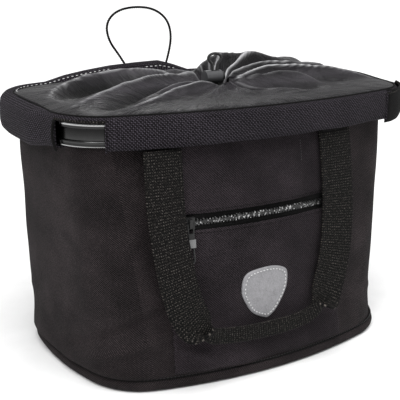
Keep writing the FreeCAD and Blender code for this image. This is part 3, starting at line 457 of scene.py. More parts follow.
def stitches(name, points, pitch, radius, material, slot, body=ROOT, share=0.62):
    """A row of short raised stitches along a path."""
    path = np.asarray(points, dtype=float)
    run = lengths(path)
    _, one, two = frames_along(path)
    vertices, faces, corners = [], [], []
    for number in range(int(run[-1] / pitch)):
        start = (number + 0.2) * pitch
        stops = np.linspace(start, start + pitch * share, 4)
        more_faces, more_corners = join_rings(len(vertices), stops, 6, radius)
        faces += more_faces
        corners += more_corners
        spots = [along_run(run, values, stops) for values in (path, one, two)]
        for centre, first, second, swell in zip(*spots, (0.35, 1.0, 1.0, 0.35)):
            vertices += ring_of(centre, first, second, radius * swell, 6)
    return add_mesh(name, vertices, faces, corners, material, slot, body=body)


# ---- cords: their routes are the CAD routes, in metres ----


def spline_points(route):
    """The smooth line of a cord: a NURBS spline with the route's points as its control points."""
    curve = bpy.data.curves.new("route", "CURVE")
    curve.dimensions = "3D"
    curve.resolution_u = 10
    spline = curve.splines.new("NURBS")
    spline.points.add(len(route) - 1)
    for point, place in zip(spline.points, route):
        point.co = (*place, 1.0)
    spline.order_u = 3
    spline.use_endpoint_u = True
    holder = bpy.data.objects.new("route", curve)
    bpy.context.scene.collection.objects.link(holder)
    bpy.context.view_layer.update()
    line = bpy.data.meshes.new_from_object(holder)
    points = np.array([vertex.co[:] for vertex in line.vertices])
    bpy.data.objects.remove(holder)
    return points / MM


def twisted_wire(name, points, radius, strands, pitch, material, slot, body):
    """A wire rope: strands laid round the path."""
    run = lengths(points)
    stops = np.arange(0.0, run[-1], 0.7)
    path = along_run(run, points, stops)
    _, one, two = frames_along(path)
    strand_radius = radius * 0.5
    reach = radius - strand_radius
    vertices, faces, corners = [], [], []
    sides = 7
    for strand in range(strands):
        base = len(vertices)
        for number, stop in enumerate(stops):
            turn = math.tau * (stop / pitch + strand / strands)
            centre = path[number] + (one[number] * math.cos(turn) + two[number] * math.sin(turn)) * reach
            vertices += ring_of(centre, one[number], two[number], strand_radius, sides)
        more_faces, more_corners = join_rings(base, stops, sides, 0.5)
        faces += more_faces
        corners += more_corners
        for ring in (base, base + (len(stops) - 1) * sides):
            faces.append(tuple(range(ring, ring + sides)))
            corners += [(0.0, 0.0)] * sides
    return add_mesh(name, vertices, faces, corners, material, slot, body=body)


def make_cords():
    """The safety cable behind the rim, and the drawstring round the cover's mouth."""
    cable_route = [(-0.006, 0.121, 0.189), (-0.0085, 0.121, 0.212), (-0.017, 0.1215, 0.233),
                   (-0.03, 0.122, 0.253), (-0.042, 0.1225, 0.269), (-0.0445, 0.123, 0.286),
                   (-0.033, 0.124, 0.298), (-0.012, 0.1245, 0.302), (0.011, 0.124, 0.2995),
                   (0.027, 0.123, 0.288), (0.0315, 0.122, 0.2705), (0.0275, 0.1215, 0.251),
                   (0.0205, 0.121, 0.232), (0.016, 0.1212, 0.212), (0.016, 0.121, 0.189)]
    line = spline_points(cable_route)
    cable = twisted_wire("safety_cable_wire", line, 1.3, 3, 7.5, WIRE, "coated_cable", "adapter")
    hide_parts("safety_cable")
    x, y, level = -0.003, -0.030, 0.2402
    half = [(0.0022, -0.0115, 0), (0.0076, -0.0093, 0), (0.0116, -0.0044, 0), (0.0118, 0.0016, 0),
            (0.009, 0.007, 0.0001), (0.0052, 0.0106, 0.0004), (0.002, 0.012, 0.0023),
            (0.0021, 0.0121, 0.02), (0.0062, 0.0122, 0.0232), (0.0072, 0.0123, 0.0264),
            (0.0044, 0.0124, 0.029)]
    cord_route = [(x - across, y + along, level + up) for across, along, up in half]
    cord_route.append((x, y + 0.0124, level + 0.0298))
    cord_route += [(x + across, y + along, level + up) for across, along, up in half[::-1]]
    line = spline_points(cord_route)
    cord = tube("drawstring", line, 1.3, SHEATH, "braided_cord")
    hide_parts("drawstring_cord")


def make_pull_loop():
    """The thin cord loop through the pull tab, hung from the slider's pin."""
    zip_centre, zip_radius, zip_height = 398.2, 503.0, 142.5
    turn, lean, reach = -78.8 / zip_radius, math.radians(8.5), zip_radius + 6.0
    hang = [(-1.9, -19.5), (-2.1, -24.0), (-2.4, -28.5), (-2.2, -32.1), (0.0, -34.1), (2.2, -32.1),
            (2.4, -28.5), (2.1, -24.0), (1.9, -19.5)]
    route = []
    for across, down in hang:
        out = reach - down * math.sin(lean)
        x = across * math.cos(turn) + out * math.sin(turn)
        y = zip_centre + across * math.sin(turn) - out * math.cos(turn)
        route.append((x * MM, y * MM, (zip_height + down * math.cos(lean)) * MM))
    line = spline_points(route)
    cord = tube("pull_loop_cord", line, 0.7, SHEATH, "braided_cord", body="pull")
    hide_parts("pull_loop")


make_cords()
make_pull_loop()

# ---- the outlines that the CAD sketches use: eight tangent arcs ----

OVALS = {"rim": (181.0, 111.5, 111.5, 0.0, 580.0, 580.0, 868.0, 49.0),
         "base": (164.0, 125.0, 99.0, 0.0, 420.0, 580.0, 265.0, 58.0)}


def corner_centre(half_width, depth, shift, long_radius, end_radius, radius):
    long_centre = Vector((0, long_radius - depth))
    end_centre = Vector((half_width - end_radius, shift))
    between = end_centre - long_centre
    apart = between.length
    along = ((long_radius - radius) ** 2 - (end_radius - radius) ** 2 + apart**2) / (2 * apart)
    aside = math.sqrt((long_radius - radius) ** 2 - along**2)
    middle = long_centre + between * (along / apart)
    sideways = Vector((between.y, -between.x)) * (aside / apart)
    return max((middle + sideways, middle - sideways), key=lambda point: point.x - point.y)


def arcs_of(kind):
    """The eight arcs of an outline as centre, radius, start angle and end angle."""
    half_width, front, rear, back_shift, front_radius, rear_radius, end_radius, corner_radius = OVALS[kind]
    shift = -back_shift
    low = corner_centre(half_width, front, shift, front_radius, end_radius, corner_radius)
    high = corner_centre(half_width, rear, -shift, rear_radius, end_radius, corner_radius)
    high = Vector((high.x, -high.y))
    low_left, high_left = Vector((-low.x, low.y)), Vector((-high.x, high.y))
    front_c, rear_c = Vector((0, front_radius - front)), Vector((0, rear - rear_radius))
    right_c, left_c = Vector((half_width - end_radius, shift)), Vector((end_radius - half_width, shift))
    sides = ((front_c, front_radius, low_left, low), (right_c, end_radius, low, high),
             (rear_c, rear_radius, high, high_left), (left_c, end_radius, high_left, low_left))
    corners = ((low, front_c, right_c), (high, right_c, rear_c), (high_left, rear_c, left_c),
               (low_left, left_c, front_c))
    made = []
    for (centre, side_radius, start, end), (corner, before, after) in zip(sides, corners):
        side_arc = (centre, side_radius, start - centre, end - centre)
        corner_arc = (corner, corner_radius, corner - before, corner - after)
        for middle, radius, *ways in (side_arc, corner_arc):
            first, last = (math.atan2(way.y, way.x) for way in ways)
            if last < first:
                last += math.tau
            made.append((middle, radius, first, last))
    return made


ARCS = {kind: arcs_of(kind) for kind in OVALS}


def outline(kind, inset, places):
    """Points of an outline moved inwards; a place is an arc's number plus the share along it."""
    made = []
    for place in places:
        number = int(place) % 8
        centre, radius, first, last = ARCS[kind][number]
        angle = first + (last - first) * (place - int(place))
        reach = radius - inset
        made.append((centre.x + math.cos(angle) * reach, centre.y + math.sin(angle) * reach))
    return np.array(made)


def crossing(axis, value, low, high):
    """The place between two others where the rim's outline crosses a line x or y = value."""
    below = outline("rim", 0.0, [low])[0][axis] < value
    for _ in range(40):
        middle = (low + high) / 2
        if (outline("rim", 0.0, [middle])[0][axis] < value) == below:
            low = middle
        else:
            high = middle
    return (low + high) / 2


def places_round(long=52, corner=24, end=36, extra=()):
    """Places all the way round, closer together on the corners, with some exact ones added."""
    made = list(extra)
    for number in range(8):
        count = corner if number % 2 else (long if number in (0, 4) else end)
        for step in range(count):
            place = number + step / count
            if all(abs(place - other) > 0.008 for other in extra):
                made.append(place)
    return np.array(sorted(made))


WALL_LOW, WALL_HIGH = 9.0, 209.0


def wall_outline(height, places, out=0.0):
    """The bag wall's outer face at a height: the CAD loft from the base outline to the rim's."""
    share = (height - WALL_LOW) / (WALL_HIGH - WALL_LOW)
    low, high = outline("base", 2.0 - out, places), outline("rim", 16.0 - out, places)
    return low * (1 - share) + high * share


FRONT_PLACES = np.concatenate([np.linspace(7.0, 8.0, 40)[:-1] - 8.0, np.linspace(0.0, 2.0, 120)])
FRONT_PLACES = np.where(FRONT_PLACES < 0, FRONT_PLACES + 8.0, FRONT_PLACES)


def front_y(x, height, out=0.0):
    """The front face's y at some x and a height, that much further out."""
    points = wall_outline(height, FRONT_PLACES, out)
    return np.interp(x, points[:, 0], points[:, 1])


def step_up(value, low, high):
    share = min(1.0, max(0.0, (value - low) / (high - low)))
    return share * share * (3 - 2 * share)


def side_swell(x, z):
    """The filled bag stands out a little on its left, and is drawn in low on its right."""
    return 3.2 * step_up(-x, 105, 150) - 2.8 * step_up(x, 100, 145) * (1 - step_up(z, 20, 175))


def relief(x, y, z):
    """How far the stretched cloth stands out from the even wall: slow waves and pulled creases."""
    spot = Vector((x, y, z))
    value = 1.5 * noise.noise(spot * 0.013) + 0.7 * noise.noise(spot * 0.031 + Vector((7, 3, 1)))
    low = math.exp(-((z - 13.0) / 16.0) ** 2)
    value += low * (2.0 + 1.0 * noise.noise(Vector((x * 0.03, y * 0.03, 4.0))))
    for along, base, slope, width, height in CREASES:
        angle = math.atan2(y, x)
        away = math.atan2(math.sin(angle - along), math.cos(angle - along))
        level = base + slope * away
        value += height * math.exp(-((z - level) / width) ** 2) * math.exp(-(away / 0.30) ** 2)
    return value


CREASES = [(-2.55, 36.0, 60.0, 4.2, 4.4), (-2.62, 50.0, 75.0, 5.0, -3.6), (-2.1, 27.0, -50.0, 4.0, 3.6),
           (-2.9, 60.0, 90.0, 6.0, 1.0), (-2.45, 74.0, 110.0, 7.0, 0.8), (-1.0, 24.0, 40.0, 3.0, 0.9),
           (-0.4, 34.0, -40.0, 4.0, 0.9), (2.6, 40.0, 60.0, 5.0, 1.2), (1.0, 30.0, -60.0, 4.0, 1.0),
           (-2.8, 150.0, -110.0, 9.0, 0.8), (0.2, 150.0, 90.0, 8.0, 0.8)]


# ---- bag wall and base ----


def make_wall():
    """The bag's wall, from just above the base to inside the rim band."""
    places = places_round()
    heights = np.concatenate([[9.6, 10.6, 12.0, 14.0, 17.0], np.linspace(20.0, 206.0, 70), [211.0]])
    rows = []
    for height in heights:
        ring = wall_outline(height, places)
        outer = wall_outline(height, places, 1.0) - ring
        fade = min(1.0, (height - 9.0) / 4.0) * min(1.0, max(0.0, 212.0 - height) / 20.0)
        hem = 1.2 * (1 - min(1.0, (height - 9.0) / 4.0))
        row = []
        for (x, y), (across, along) in zip(ring, outer):
            bulge = fade * (relief(x, y, height) + side_swell(x, height)) - hem
            row.append((x + across * bulge, y + along * bulge, height))
        rows.append(row)
    around = lengths(wall_outline(110.0, places), closed=True)
    wall = grid("bag_wall_cloth", rows, around, heights * 1.01, BODY_CLOTH, "body_fabric", closed=True,
                skin=2.0)
    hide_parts("body_wall")


def make_base():
    """The bottom cloth, turned up at its edge, with its seam and piping."""
    places = places_round()
    profile = [(4.2, 10.4), (2.6, 10.0), (1.0, 9.0), (0.0, 7.2), (-0.5, 5.2), (-0.2, 3.0), (0.9, 1.2),
               (2.8, 0.3), (6.0, 0.0), (14.0, 0.0), (30.0, 0.0), (46.0, 0.0)]
    rows = []
    for inset, height in profile:
        ring = outline("base", inset, places)
        sway = [0.35 * noise.noise(Vector((x * 0.05, y * 0.05, 2.0))) if height > 0.5 else 0.0
                for x, y in ring]
        rows.append([(x, y, height + lift) for (x, y), lift in zip(ring, sway)])
    for share in (0.75, 0.5, 0.25, 0.02):
        ring = outline("base", 46.0, places) * share
        rows.append([(x, y, 0.0) for x, y in ring])
    around = lengths(outline("base", 0.0, places), closed=True)
    down = lengths([(0.0, inset, height) for inset, height in profile]).tolist() + [80.0, 110.0, 140.0, 165.0]
    base = grid("base_cloth", rows, around, down, BODY_CLOTH, "base_fabric", closed=True)
    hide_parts("base_panel", "base_edge")
    ring = wall_outline(11.4, places, 0.9)
    seam = [(x, y, 11.3) for x, y in np.vstack([ring, ring[:1]])]
    stitches("base_seam_stitches", seam, 3.2, 0.35, THREAD, "braided_cord")
    groove = [(x, y, 10.2) for x, y in outline("base", 1.7, [*places, places[0]])]
    tube("base_piping", groove, 1.0, BINDING, "base_fabric", sides=8)


# ---- rim band with its two windows ----

WINDOW_TOP = 233.2
REAR_PROFILE = [(16.8, 211.5), (16.6, 209.6), (12.0, 208.9), (5.0, 208.7), (1.6, 209.4), (0.3, 211.4),
                (-0.3, 215.0), (-0.5, 221.0), (-0.3, 227.0), (0.2, WINDOW_TOP), (0.9, 235.6), (2.4, 237.4),
                (4.6, 238.3), (7.4, 238.6), (10.2, 238.2), (12.2, 237.0), (13.1, 235.8), (13.6, 234.4),
                (15.0, 233.4), (15.9, 231.0), (16.2, 222.0), (16.6, 210.2)]
FRONT_CROWN = [(0.8, 235.2), (2.0, 236.4), (3.6, 236.8), (6.0, 236.4), (8.4, 235.8), (10.4, 235.2),
               (12.0, 234.6), (13.2, 234.0), (14.6, 233.0), (15.6, 230.8), (16.2, 222.0), (16.6, 210.2)]
FRONT_PROFILE = REAR_PROFILE[:10] + FRONT_CROWN
END_PROFILE = [(16.8, 208.5), (16.6, 206.6), (12.0, 205.2), (5.0, 204.4), (1.0, 205.2), (-0.9, 207.8),
               (-2.0, 213.0), (-2.4, 220.0), (-1.9, 227.0), (-0.4, 232.6), (1.4, 236.0), (3.6, 238.6),
               (6.2, 240.2), (8.2, 240.8), (9.4, 240.4), (10.6, 239.2), (11.8, 237.8), (13.0, 236.0),
               (14.6, 234.0), (15.8, 231.0), (16.2, 222.0), (16.6, 208.2)]
WINDOW_ROWS = range(1, 9)
REAR_RISE = [(-190, -1.5), (-124, -1.0), (-103, 3.0), (-80, 5.5), (-50, 8.0), (-20, 9.0), (5, 9.5), (22, 5.0),
             (40, -1.0), (90, -1.5), (190, -1.5)]


def rearward(y):
    """0 round the front and sides of the rim, 1 along its rear."""
    return 1.0 / (1.0 + math.exp(-(y - 62.0) / 9.0))


def endward(x, y):
    """1 round the two ends of the rim, where its padding is fullest, and 0 elsewhere."""
    return step_up(abs(x), 150, 168) * step_up(y, -54, -16) * (1 - rearward(y))


def band_rise(x, y):
    """The rear of the band stands up higher than its front, most of all left of the middle."""
    across, rise = zip(*REAR_RISE)
    return rearward(y) * float(np.interp(x, across, rise))


def window_flare(place, corner):
    """How far the cut end of the band stands away from the rim, beyond the window on the right."""
    return 11.5 * math.exp(-((place - corner) / 0.28) ** 2) if place >= corner - 0.001 else 0.0


def flare_shape(height):
    return math.sqrt(max(0.0, 1 - ((height - 221.0) / 16.5) ** 2))


def make_pad_end(start, corner):
    """The dark lining and folded edge that fill the window on the right, out to the band's cut end."""
    rows = []
    for height in np.linspace(205.5, 236.5, 22):
        reach = window_flare(corner, corner) * flare_shape(height)
        row = []
        for number in range(9):
            share = number / 8
            x, y = outline("rim", 0.9 - (reach + 0.9) * share**1.4, [start + (corner - start) * share])[0]
            row.append((x, y, height + 0.5 * noise.noise(Vector((share * 4, height * 0.2, 2.0)))))
        rows.append(row)
    grid("window_pad_end", rows, np.linspace(0.0, 42.0, 9), np.linspace(0.0, 31.0, 22), BINDING, "rim_fabric",
         skin=0.6)
    lip = []
    for height in np.linspace(205.2, 237.2, 20):
        x, y = outline("rim", -window_flare(corner, corner) * flare_shape(height) - 0.4, [corner])[0]
        lip.append((x, y, height))
    tube("window_pad_lip", lip, 1.7, WEBBING, "rim_fabric", sides=10)


def make_band():
    """The sewn band round the rim frame, cut away at its two windows."""
    left = (crossing(0, -149.0, 7.0, 7.999), crossing(1, -59.0, 6.2, 7.4))
    right = (crossing(0, 140.0, 0.6, 2.0), crossing(1, -62.0, 1.2, 2.6))
    places = places_round(long=64, corner=40, end=44, extra=(*left, *right))
    spans = [(min(left), max(left)), (min(right), max(right))]
    edge = outline("rim", 0.0, places)
    weights = np.array([(rearward(y), endward(x, y)) for x, y in edge])
    rows = []
    profiles = [np.array(profile) for profile in (FRONT_PROFILE, REAR_PROFILE, END_PROFILE)]
    for front, rear, end in zip(*profiles):
        row = []
        for place, (rear_share, end_share) in zip(places, weights):
            inset, height = front + (rear - front) * rear_share + (end - front) * end_share
            flat = outline("rim", 0.0, [place])[0]
            if flat[0] < 0:
                inset -= 4.0 * end_share * max(0.0, 1 - max(0.0, inset) / 9.0)
                height -= 3.4 * end_share * step_up(height, 228, 240)
            outer = max(0.0, 1 - max(0.0, inset) / 14.0)
            inset -= window_flare(place, spans[1][1]) * flare_shape(height) * outer
            x, y = outline("rim", inset, [place])[0]
            spot = Vector((x * 0.022, y * 0.022, height * 0.06))
            push = 0.9 * noise.noise(spot) * (1.0 if inset < 12 else 0.2)
            lift = max(0.0, (height - 215.0) / 22.0) if inset < 13.3 else 0.0
            scale = 1 + push / 150.0
            droop = 0.9 * noise.noise(Vector((x * 0.03, y * 0.03, 9.0))) if height < 211 else 0.0
            row.append((x * scale, y * scale, height + band_rise(x, y) * lift + droop))
        rows.append(row)

    def keep(row, column):
        if row not in WINDOW_ROWS:
            return True
        following = places[(column + 1) % len(places)] if column + 1 < len(places) else 8.0
        middle = (places[column] + following) / 2
        return not any(low < middle < high for low, high in spans)

    around = lengths(outline("rim", 0.0, places), closed=True)
    down = lengths([(0.0, inset, height) for inset, height in REAR_PROFILE])
    band = grid("rim_band_cloth", rows, around, down, BAND_CLOTH, "rim_fabric", closed=True, keep=keep,
                skin=1.3)
    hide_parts("rim_sleeve_front", "rim_sleeve_rear", "rim_sleeve_left", "rim_sleeve_right")
    for side, (low, high) in (("left", spans[0]), ("right", spans[1])):
        square = high if side == "left" else low
        if side == "left":
            bow = [(0.9, 208.0), (0.45, 210.4), (0.05, 214.5), (-0.15, 220.0), (-0.15, 226.0), (0.1, 231.0),
                   (0.6, 233.2)]
            curved = []
            for share, height in bow:
                inset = -0.9 - 1.4 * math.cos((height - 220.5) / 8.5)
                curved.append((*outline("rim", inset, [low + share * 0.05])[0], height))
            tube("window_binding_left_bow", smooth_path(curved, 5), 1.2, BINDING, "rim_fabric", sides=10)
        straight = [(*outline("rim", -0.4, [square])[0], height)
                    for height in (208.6, 212.0, 220.0, 228.0, 233.0)]
        tube(f"window_binding_{side}_edge", smooth_path(straight, 4), 0.9, BAND_CLOTH, "rim_fabric", sides=8)
        strip = np.linspace(low, high, 24)
        points = [(x, y, WINDOW_TOP + 0.1) for x, y in outline("rim", -0.1, strip)]
        tube(f"window_binding_{side}_top", points, 1.1, WEBBING, "rim_fabric", sides=8)
    make_pad_end(*spans[1])
    # Pale stitches along the rear of the band; their paleness is partly painted highlight along the seam.
    stretches = ((-172.0, -52.0, 12.2, 237.2), (-22.0, 26.0, 13.4, 235.4), (66.0, 150.0, 13.4, 235.4))
    for number, (low, high, inset, height) in enumerate(stretches):
        seam = []
        for place in [place for place in places if 2.7 < place < 6.6]:
            x, y = outline("rim", inset, [place])[0]
            if low < x < high:
                seam.append((x, y, height + band_rise(x, y) * 0.9))
        stitches(f"band_stitches_and_highlight_{number}", seam, 5.2, 0.6, PALE_THREAD, "braided_cord", share=0.5)


# ---- gathered cover ----

MOUTH = (-3.0, -30.0)
LOCK = (-5.5, -18.0)
# Each fold is a line of x, y and height above the slack sheet; the number is its half width.
FOLDS = [
    (8.0, [(-162, -14, 1), (-150, 14, 4), (-132, 36, 6), (-98, 60, 8), (-50, 70, 9), (-22, 52, 9),
           (-10, 8, 7), (-6, -16, 3)]),
    (9.0, [(-166, -58, 1), (-142, -46, 5), (-84, -12, 9), (-34, 2, 10), (-10, -16, 5)]),
    (4.0, [(-104, -52, 2), (-62, -34, 6), (-20, -29, 4)]),
    (5.0, [(-128, -86, 1), (-99, -72, 4), (-57, -50, 7), (-25, -38, 6), (-10, -35, 3)]),
    (4.5, [(-60, -84, 0), (-32, -60, 2), (-9, -41, 3)]),
    (4.5, [(8, -88, 0), (2, -60, 2), (-1, -42, 3)]),
    (5.0, [(58, -84, 1), (30, -64, 3), (6, -41, 4)]),
    (11.0, [(10, -40, 4), (30, -42, 8), (58, -40, 10), (78, -44, 8), (90, -56, 2)]),
    (5.0, [(5, -34, 4), (47, -20, 9), (90, -15, 10), (140, -25, 6), (166, -45, 1)]),
    (5.0, [(6, -28, 6), (54, -6, 12), (100, 5, 10), (148, 20, 5), (164, 30, 1)]),
    (6.0, [(6, -20, 10), (40, 2, 17), (80, 18, 15), (130, 40, 10), (160, 62, 3)]),
    (10.0, [(-12, -4, 11), (0, 3, 18), (24, 5, 23), (60, 9, 19), (98, 18, 12), (140, 44, 4)]),
    (6.0, [(-8, -10, 6), (-6, 30, 9), (-2, 74, 4), (0, 96, 0)]),
    (5.0, [(-2, -8, 8), (24, 40, 9), (60, 78, 3)]),
    (6.0, [(4, -6, 10), (60, 36, 10), (112, 66, 4)]),
]
CREST_SHARES = (0.4, 0.5, 0.35, 0.7, 0.2, 0.2, 0.3, 0.12, 0.9, 0.6, 0.8, 0.1, 0.2, 0.3, 0.5)
HOLLOWS = [
    (15.0, [(-142, 2, 4), (-113, 28, 8), (-62, 42, 8), (-24, 32, 5)]),
    (8.0, [(-146, -74, 2), (-122, -60, 4), (-87, -36, 5), (-47, -22, 4), (-16, -25, 2)]),
    (7.0, [(8, -50, 2), (40, -60, 3), (78, -66, 2)]),
    (5.0, [(8, -33, 2), (50, -30, 4), (96, -30, 4), (130, -44, 2)]),
]


def from_line(points, line):
    """Each point's distance from a bent line, and the line's height at its nearest spot."""
    best = np.full(len(points), 1e9)
    height = np.zeros(len(points))
    line = np.asarray(line, dtype=float)
    for start, end in zip(line, line[1:]):
        along = end[:2] - start[:2]
        share = np.clip(((points - start[:2]) @ along) / (along @ along), 0.0, 1.0)
        away = np.linalg.norm(points - start[:2] - share[:, None] * along, axis=1)
        nearer = away < best
        best = np.where(nearer, away, best)
        height = np.where(nearer, start[2] + (end[2] - start[2]) * share, height)
    return best, height


def seam_spot(place):
    """Where the cover is sewn to the band: near its outer edge in front, and further in elsewhere."""
    x, y = outline("rim", 0.0, [place])[0]
    rear, end = rearward(y), endward(x, y)
    left = 1.0 if x < 0 else 0.0
    x, y = outline("rim", 3.4 + 10.4 * rear + (5.6 - 2.8 * left) * end, [place])[0]
    return x, y, 237.0 - 1.2 * rear + (3.4 - 3.4 * left) * end


def mark_painted_highlight(cover):
    """How much painted highlight each spot of the cover gets: most along the sharp crests of its folds."""
    spots = np.array([vertex.co[:2] for vertex in cover.data.vertices]) / MM
    wear_and_highlight = np.zeros(len(spots))
    for (width, line), share in zip(FOLDS, CREST_SHARES):
        away, height = from_line(spots, smooth_path(line, 5))
        line_of_highlight = np.exp(-(away / (0.5 + 0.06 * width)) ** 2)
        wear_and_highlight = np.maximum(wear_and_highlight, share * line_of_highlight * np.clip(height / 9.0, 0.0, 1.0))
    layer = cover.data.attributes.new("fold_painted_highlight", "FLOAT", "POINT")
    layer.data.foreach_set("value", wear_and_highlight)


def make_cover():
    """The gathered nylon cover, from its seam on the band to the mouth."""
    around, reach = 320, 52
    places = places_round()
    edge = np.array([seam_spot(place) for place in places])
    angles = np.arctan2(edge[:, 1] - MOUTH[1], edge[:, 0] - MOUTH[0])
    order = np.argsort(angles)
    angles, edge = angles[order], edge[order]
    even = np.linspace(-math.pi, math.pi, around, endpoint=False)
    rim = np.array([np.interp(even, angles, edge[:, axis], period=math.tau) for axis in range(3)]).T
    mouth = np.array([(MOUTH[0] + math.cos(angle) * 8.0, MOUTH[1] + math.sin(angle) * 8.0) for angle in even])
    shares = (np.arange(reach + 1) / reach) ** 0.8
    spots = np.array([rim[:, :2] * (1 - share) + mouth * share for share in shares])
    flat = spots.reshape(-1, 2)
    swell = np.zeros(len(flat))
    for width, line in FOLDS:
        line = smooth_path(line, 5)
        away, height = from_line(flat, line)
        crest = 0.85 * np.exp(-(np.sqrt(away**2 + 0.5) - 0.7) / (width * 0.85))
        crest += 0.15 * np.exp(-(away / width) ** 2)
        swell += np.maximum(height * 1.18 * crest, 0.0) ** 3
    swell = swell ** (1 / 3)
    for width, line in HOLLOWS:
        away, height = from_line(flat, smooth_path(line, 5))
        swell -= 1.5 * height * np.exp(-(away / width) ** 2)
    swell = swell.reshape(reach + 1, around)
    rng = np.random.default_rng(5)
    puckers = [(rng.uniform(-math.pi, math.pi), rng.uniform(0.5, 1.2), rng.uniform(-0.25, 0.25))
               for _ in range(30)]
    rows = []
    for step, share in enumerate(shares):
        shoulder = 2.6 * (1 - math.exp(-share * 14)) * (1 if share < 0.96 else 0.7)
        slope = math.sin(share * math.pi / 2)
        row = []
        for number, angle in enumerate(even):
            x, y = spots[step, number]
            near = max(0.0, share - 0.45) / 0.55
            pucker = 0.0
            for centre, strength, bend in puckers:
                away = angle - centre - bend * (1 - share)
                away = math.atan2(math.sin(away), math.cos(away))
                pucker += strength * math.exp(-abs(away) / 0.06)
            pucker *= 2.2 * near**1.3
            creases = 1.1 * noise.noise(Vector((x * 0.045, y * 0.045, 5.0)))
            creases += 0.5 * noise.noise(Vector((x * 0.12, y * 0.12, 8.0)))
            creases += 1.3 * near * noise.ridged_multi_fractal(
                Vector((angle * 5.0, share * 1.2, 3.0)), 0.9, 2.1, 3, 1.0, 2.0)
            from_lock = math.hypot(x - LOCK[0], (y - LOCK[1]) * 1.15)
            clear = min(1.0, max(0.0, (from_lock - 9.0) / 9.0))
            fade = min(1.0, share * 9.0)
            lift = (swell[step, number] + creases) * fade + pucker
            row.append((x, y, rim[number, 2] + shoulder + slope + lift * (0.12 + 0.88 * clear)))
        rows.append(row)
    u = np.degrees(np.concatenate([even, [math.pi]])) * 2.4
    v = [130.0 * (step / reach) for step in range(reach + 1)]
    cover = grid("cover_nylon_sheet", rows, u, v, NYLON, "coated_nylon", closed=True, skin=0.6, subdivide=1)
    mark_painted_highlight(cover)
    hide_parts("drawstring_cover")
    seam = np.array([seam_spot(place) for place in places])
    seam = np.vstack([seam, seam[:1]]) + np.array([0.0, 0.0, -0.1])
    tube("cover_seam", seam, 0.9, BINDING, "rim_fabric", sides=8, closed_ends=False)


# ---- front pocket, reflective patch and seams ----

POCKET = (-98.5, 77.5)


def pocket_swell(x, z):
    """The pocket stands out between the legs of the handle, above its grip."""
    return 2.6 * step_up(x, -82, -52) * step_up(-x, -52, -18) * step_up(z, 50, 78) * step_up(-z, -206, -180)


def panel(name, low_x, high_x, low_z, high_z, out, material, slot, step=2.5, tuck=2.0):
    """A cloth panel that lies on the front wall, turned in along its edges."""
    xs = np.linspace(low_x, high_x, int((high_x - low_x) / step) + 1)
    zs = np.linspace(low_z, high_z, int((high_z - low_z) / step) + 1)
    xs = np.concatenate([[low_x], [low_x + 0.6], xs[1:-1], [high_x - 0.6], [high_x]])
    zs = np.concatenate([[low_z], [low_z + 0.6], zs[1:-1], [high_z - 0.6], [high_z]])
    rows = []
    for z in zs:
        base = front_y(xs, z)
        row = []
        for x, y in zip(xs, base):
            edge = min(1.0, min(x - low_x, high_x - x, z - low_z, high_z - z) / tuck)
            lift = out * (0.35 + 0.65 * math.sqrt(max(0.0, edge))) + relief(x, y, z) + pocket_swell(x, z)
            row.append((x, y - lift, z))
        rows.append(row)
    return grid(name, rows, xs, zs, material, slot, skin=0.9)


def on_front(points, out):
    """Places on the front wall, that far out of it, from pairs of x and z."""
    made = []
    for x, z in points:
        y = float(front_y(x, z))
        made.append((x, y - out - relief(x, y, z) - pocket_swell(x, z), z))
    return np.array(made)


def make_pocket():
    """The front pocket's two panels, above and below the zip, with their stitches."""
    lower = panel("pocket_cloth_lower", *POCKET, 14.0, 136.2, 2.4, FRONT_CLOTH, "body_fabric")
    upper = panel("pocket_cloth_upper", *POCKET, 149.8, 209.5, 2.4, FRONT_CLOTH, "body_fabric")
    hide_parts("pocket_panel_lower")
    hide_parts("pocket_panel_upper")
    low, high = POCKET
    for number, level in enumerate((133.6, 152.6)):
        line = on_front([(x, level) for x in np.linspace(low + 3, high - 3, 90)], 2.55)
        stitches(f"zip_stitches_{number}", line, 2.9, 0.3, BINDING, "braided_cord")
    line = on_front([(36.0, z) for z in np.linspace(183.0, 204.0, 12)], 2.7)
    stitches("pocket_bar_stitches", line, 2.4, 0.34, THREAD, "braided_cord")


PATCH = [(-34.4, 82.7), (-33.9, 72.8), (-24.7, 57.7), (-12.7, 50.9), (-6.3, 50.5), (2.7, 57.9), (11.3, 74.5),
         (13.1, 87.9), (8.8, 93.3), (-4.2, 96.5), (-23.0, 95.2), (-31.1, 91.1)]


def make_patch():
    """The grey reflective shield, with a row of pale stitches inside its edge."""
    edge = smooth_path([(x, z, 0.0) for x, z in PATCH], 8, closed=True)[:, :2]
    middle = edge.mean(axis=0)
    rows = []
    rings = [(1.0, 1.6), (0.995, 3.3), (0.97, 3.9), (0.9, 4.0), (0.7, 4.1), (0.45, 4.2), (0.2, 4.2),
             (0.01, 4.2)]
    for share, out in rings:
        rows.append(on_front(middle + (edge - middle) * share, out))
    rows = np.array(rows)
    faces, corners = [], []
    columns = len(edge)
    for row in range(len(rows) - 1):
        for column in range(columns):
            following = (column + 1) % columns
            face = ((row, column), (row, following), (row + 1, following), (row + 1, column))
            faces.append(tuple(r * columns + c for r, c in face))
            corners += [(rows[r][c][0], rows[r][c][2]) for r, c in face]
    patch = add_mesh("reflective_badge", rows.reshape(-1, 3), faces, corners, REFLECTIVE, "reflective")
    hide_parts("reflective_patch")
    ring = middle + (edge - middle) * 0.88
    line = on_front(np.vstack([ring, ring[:1]]), 4.2)
    stitches("badge_stitches", line, 3.3, 0.55, PALE_THREAD, "reflective", share=0.6)


# ---- webbing handles ----

HANDLE_PATH = [(-88.5, 208.0), (-89.0, 183.0), (-89.5, 154.0), (-87.0, 118.0), (-82.5, 86.0), (-75.5, 62.0),
               (-62.0, 44.0), (-42.0, 38.0), (-4.0, 35.0), (28.0, 35.5), (50.0, 39.5), (65.0, 51.0),
               (75.0, 72.0), (83.0, 100.0), (88.0, 135.0), (89.0, 170.0), (88.5, 208.0)]
PIVOT_OUT, PIVOT_HEIGHT = 103.5, 206.5
HALF_WEBBING = 17.2

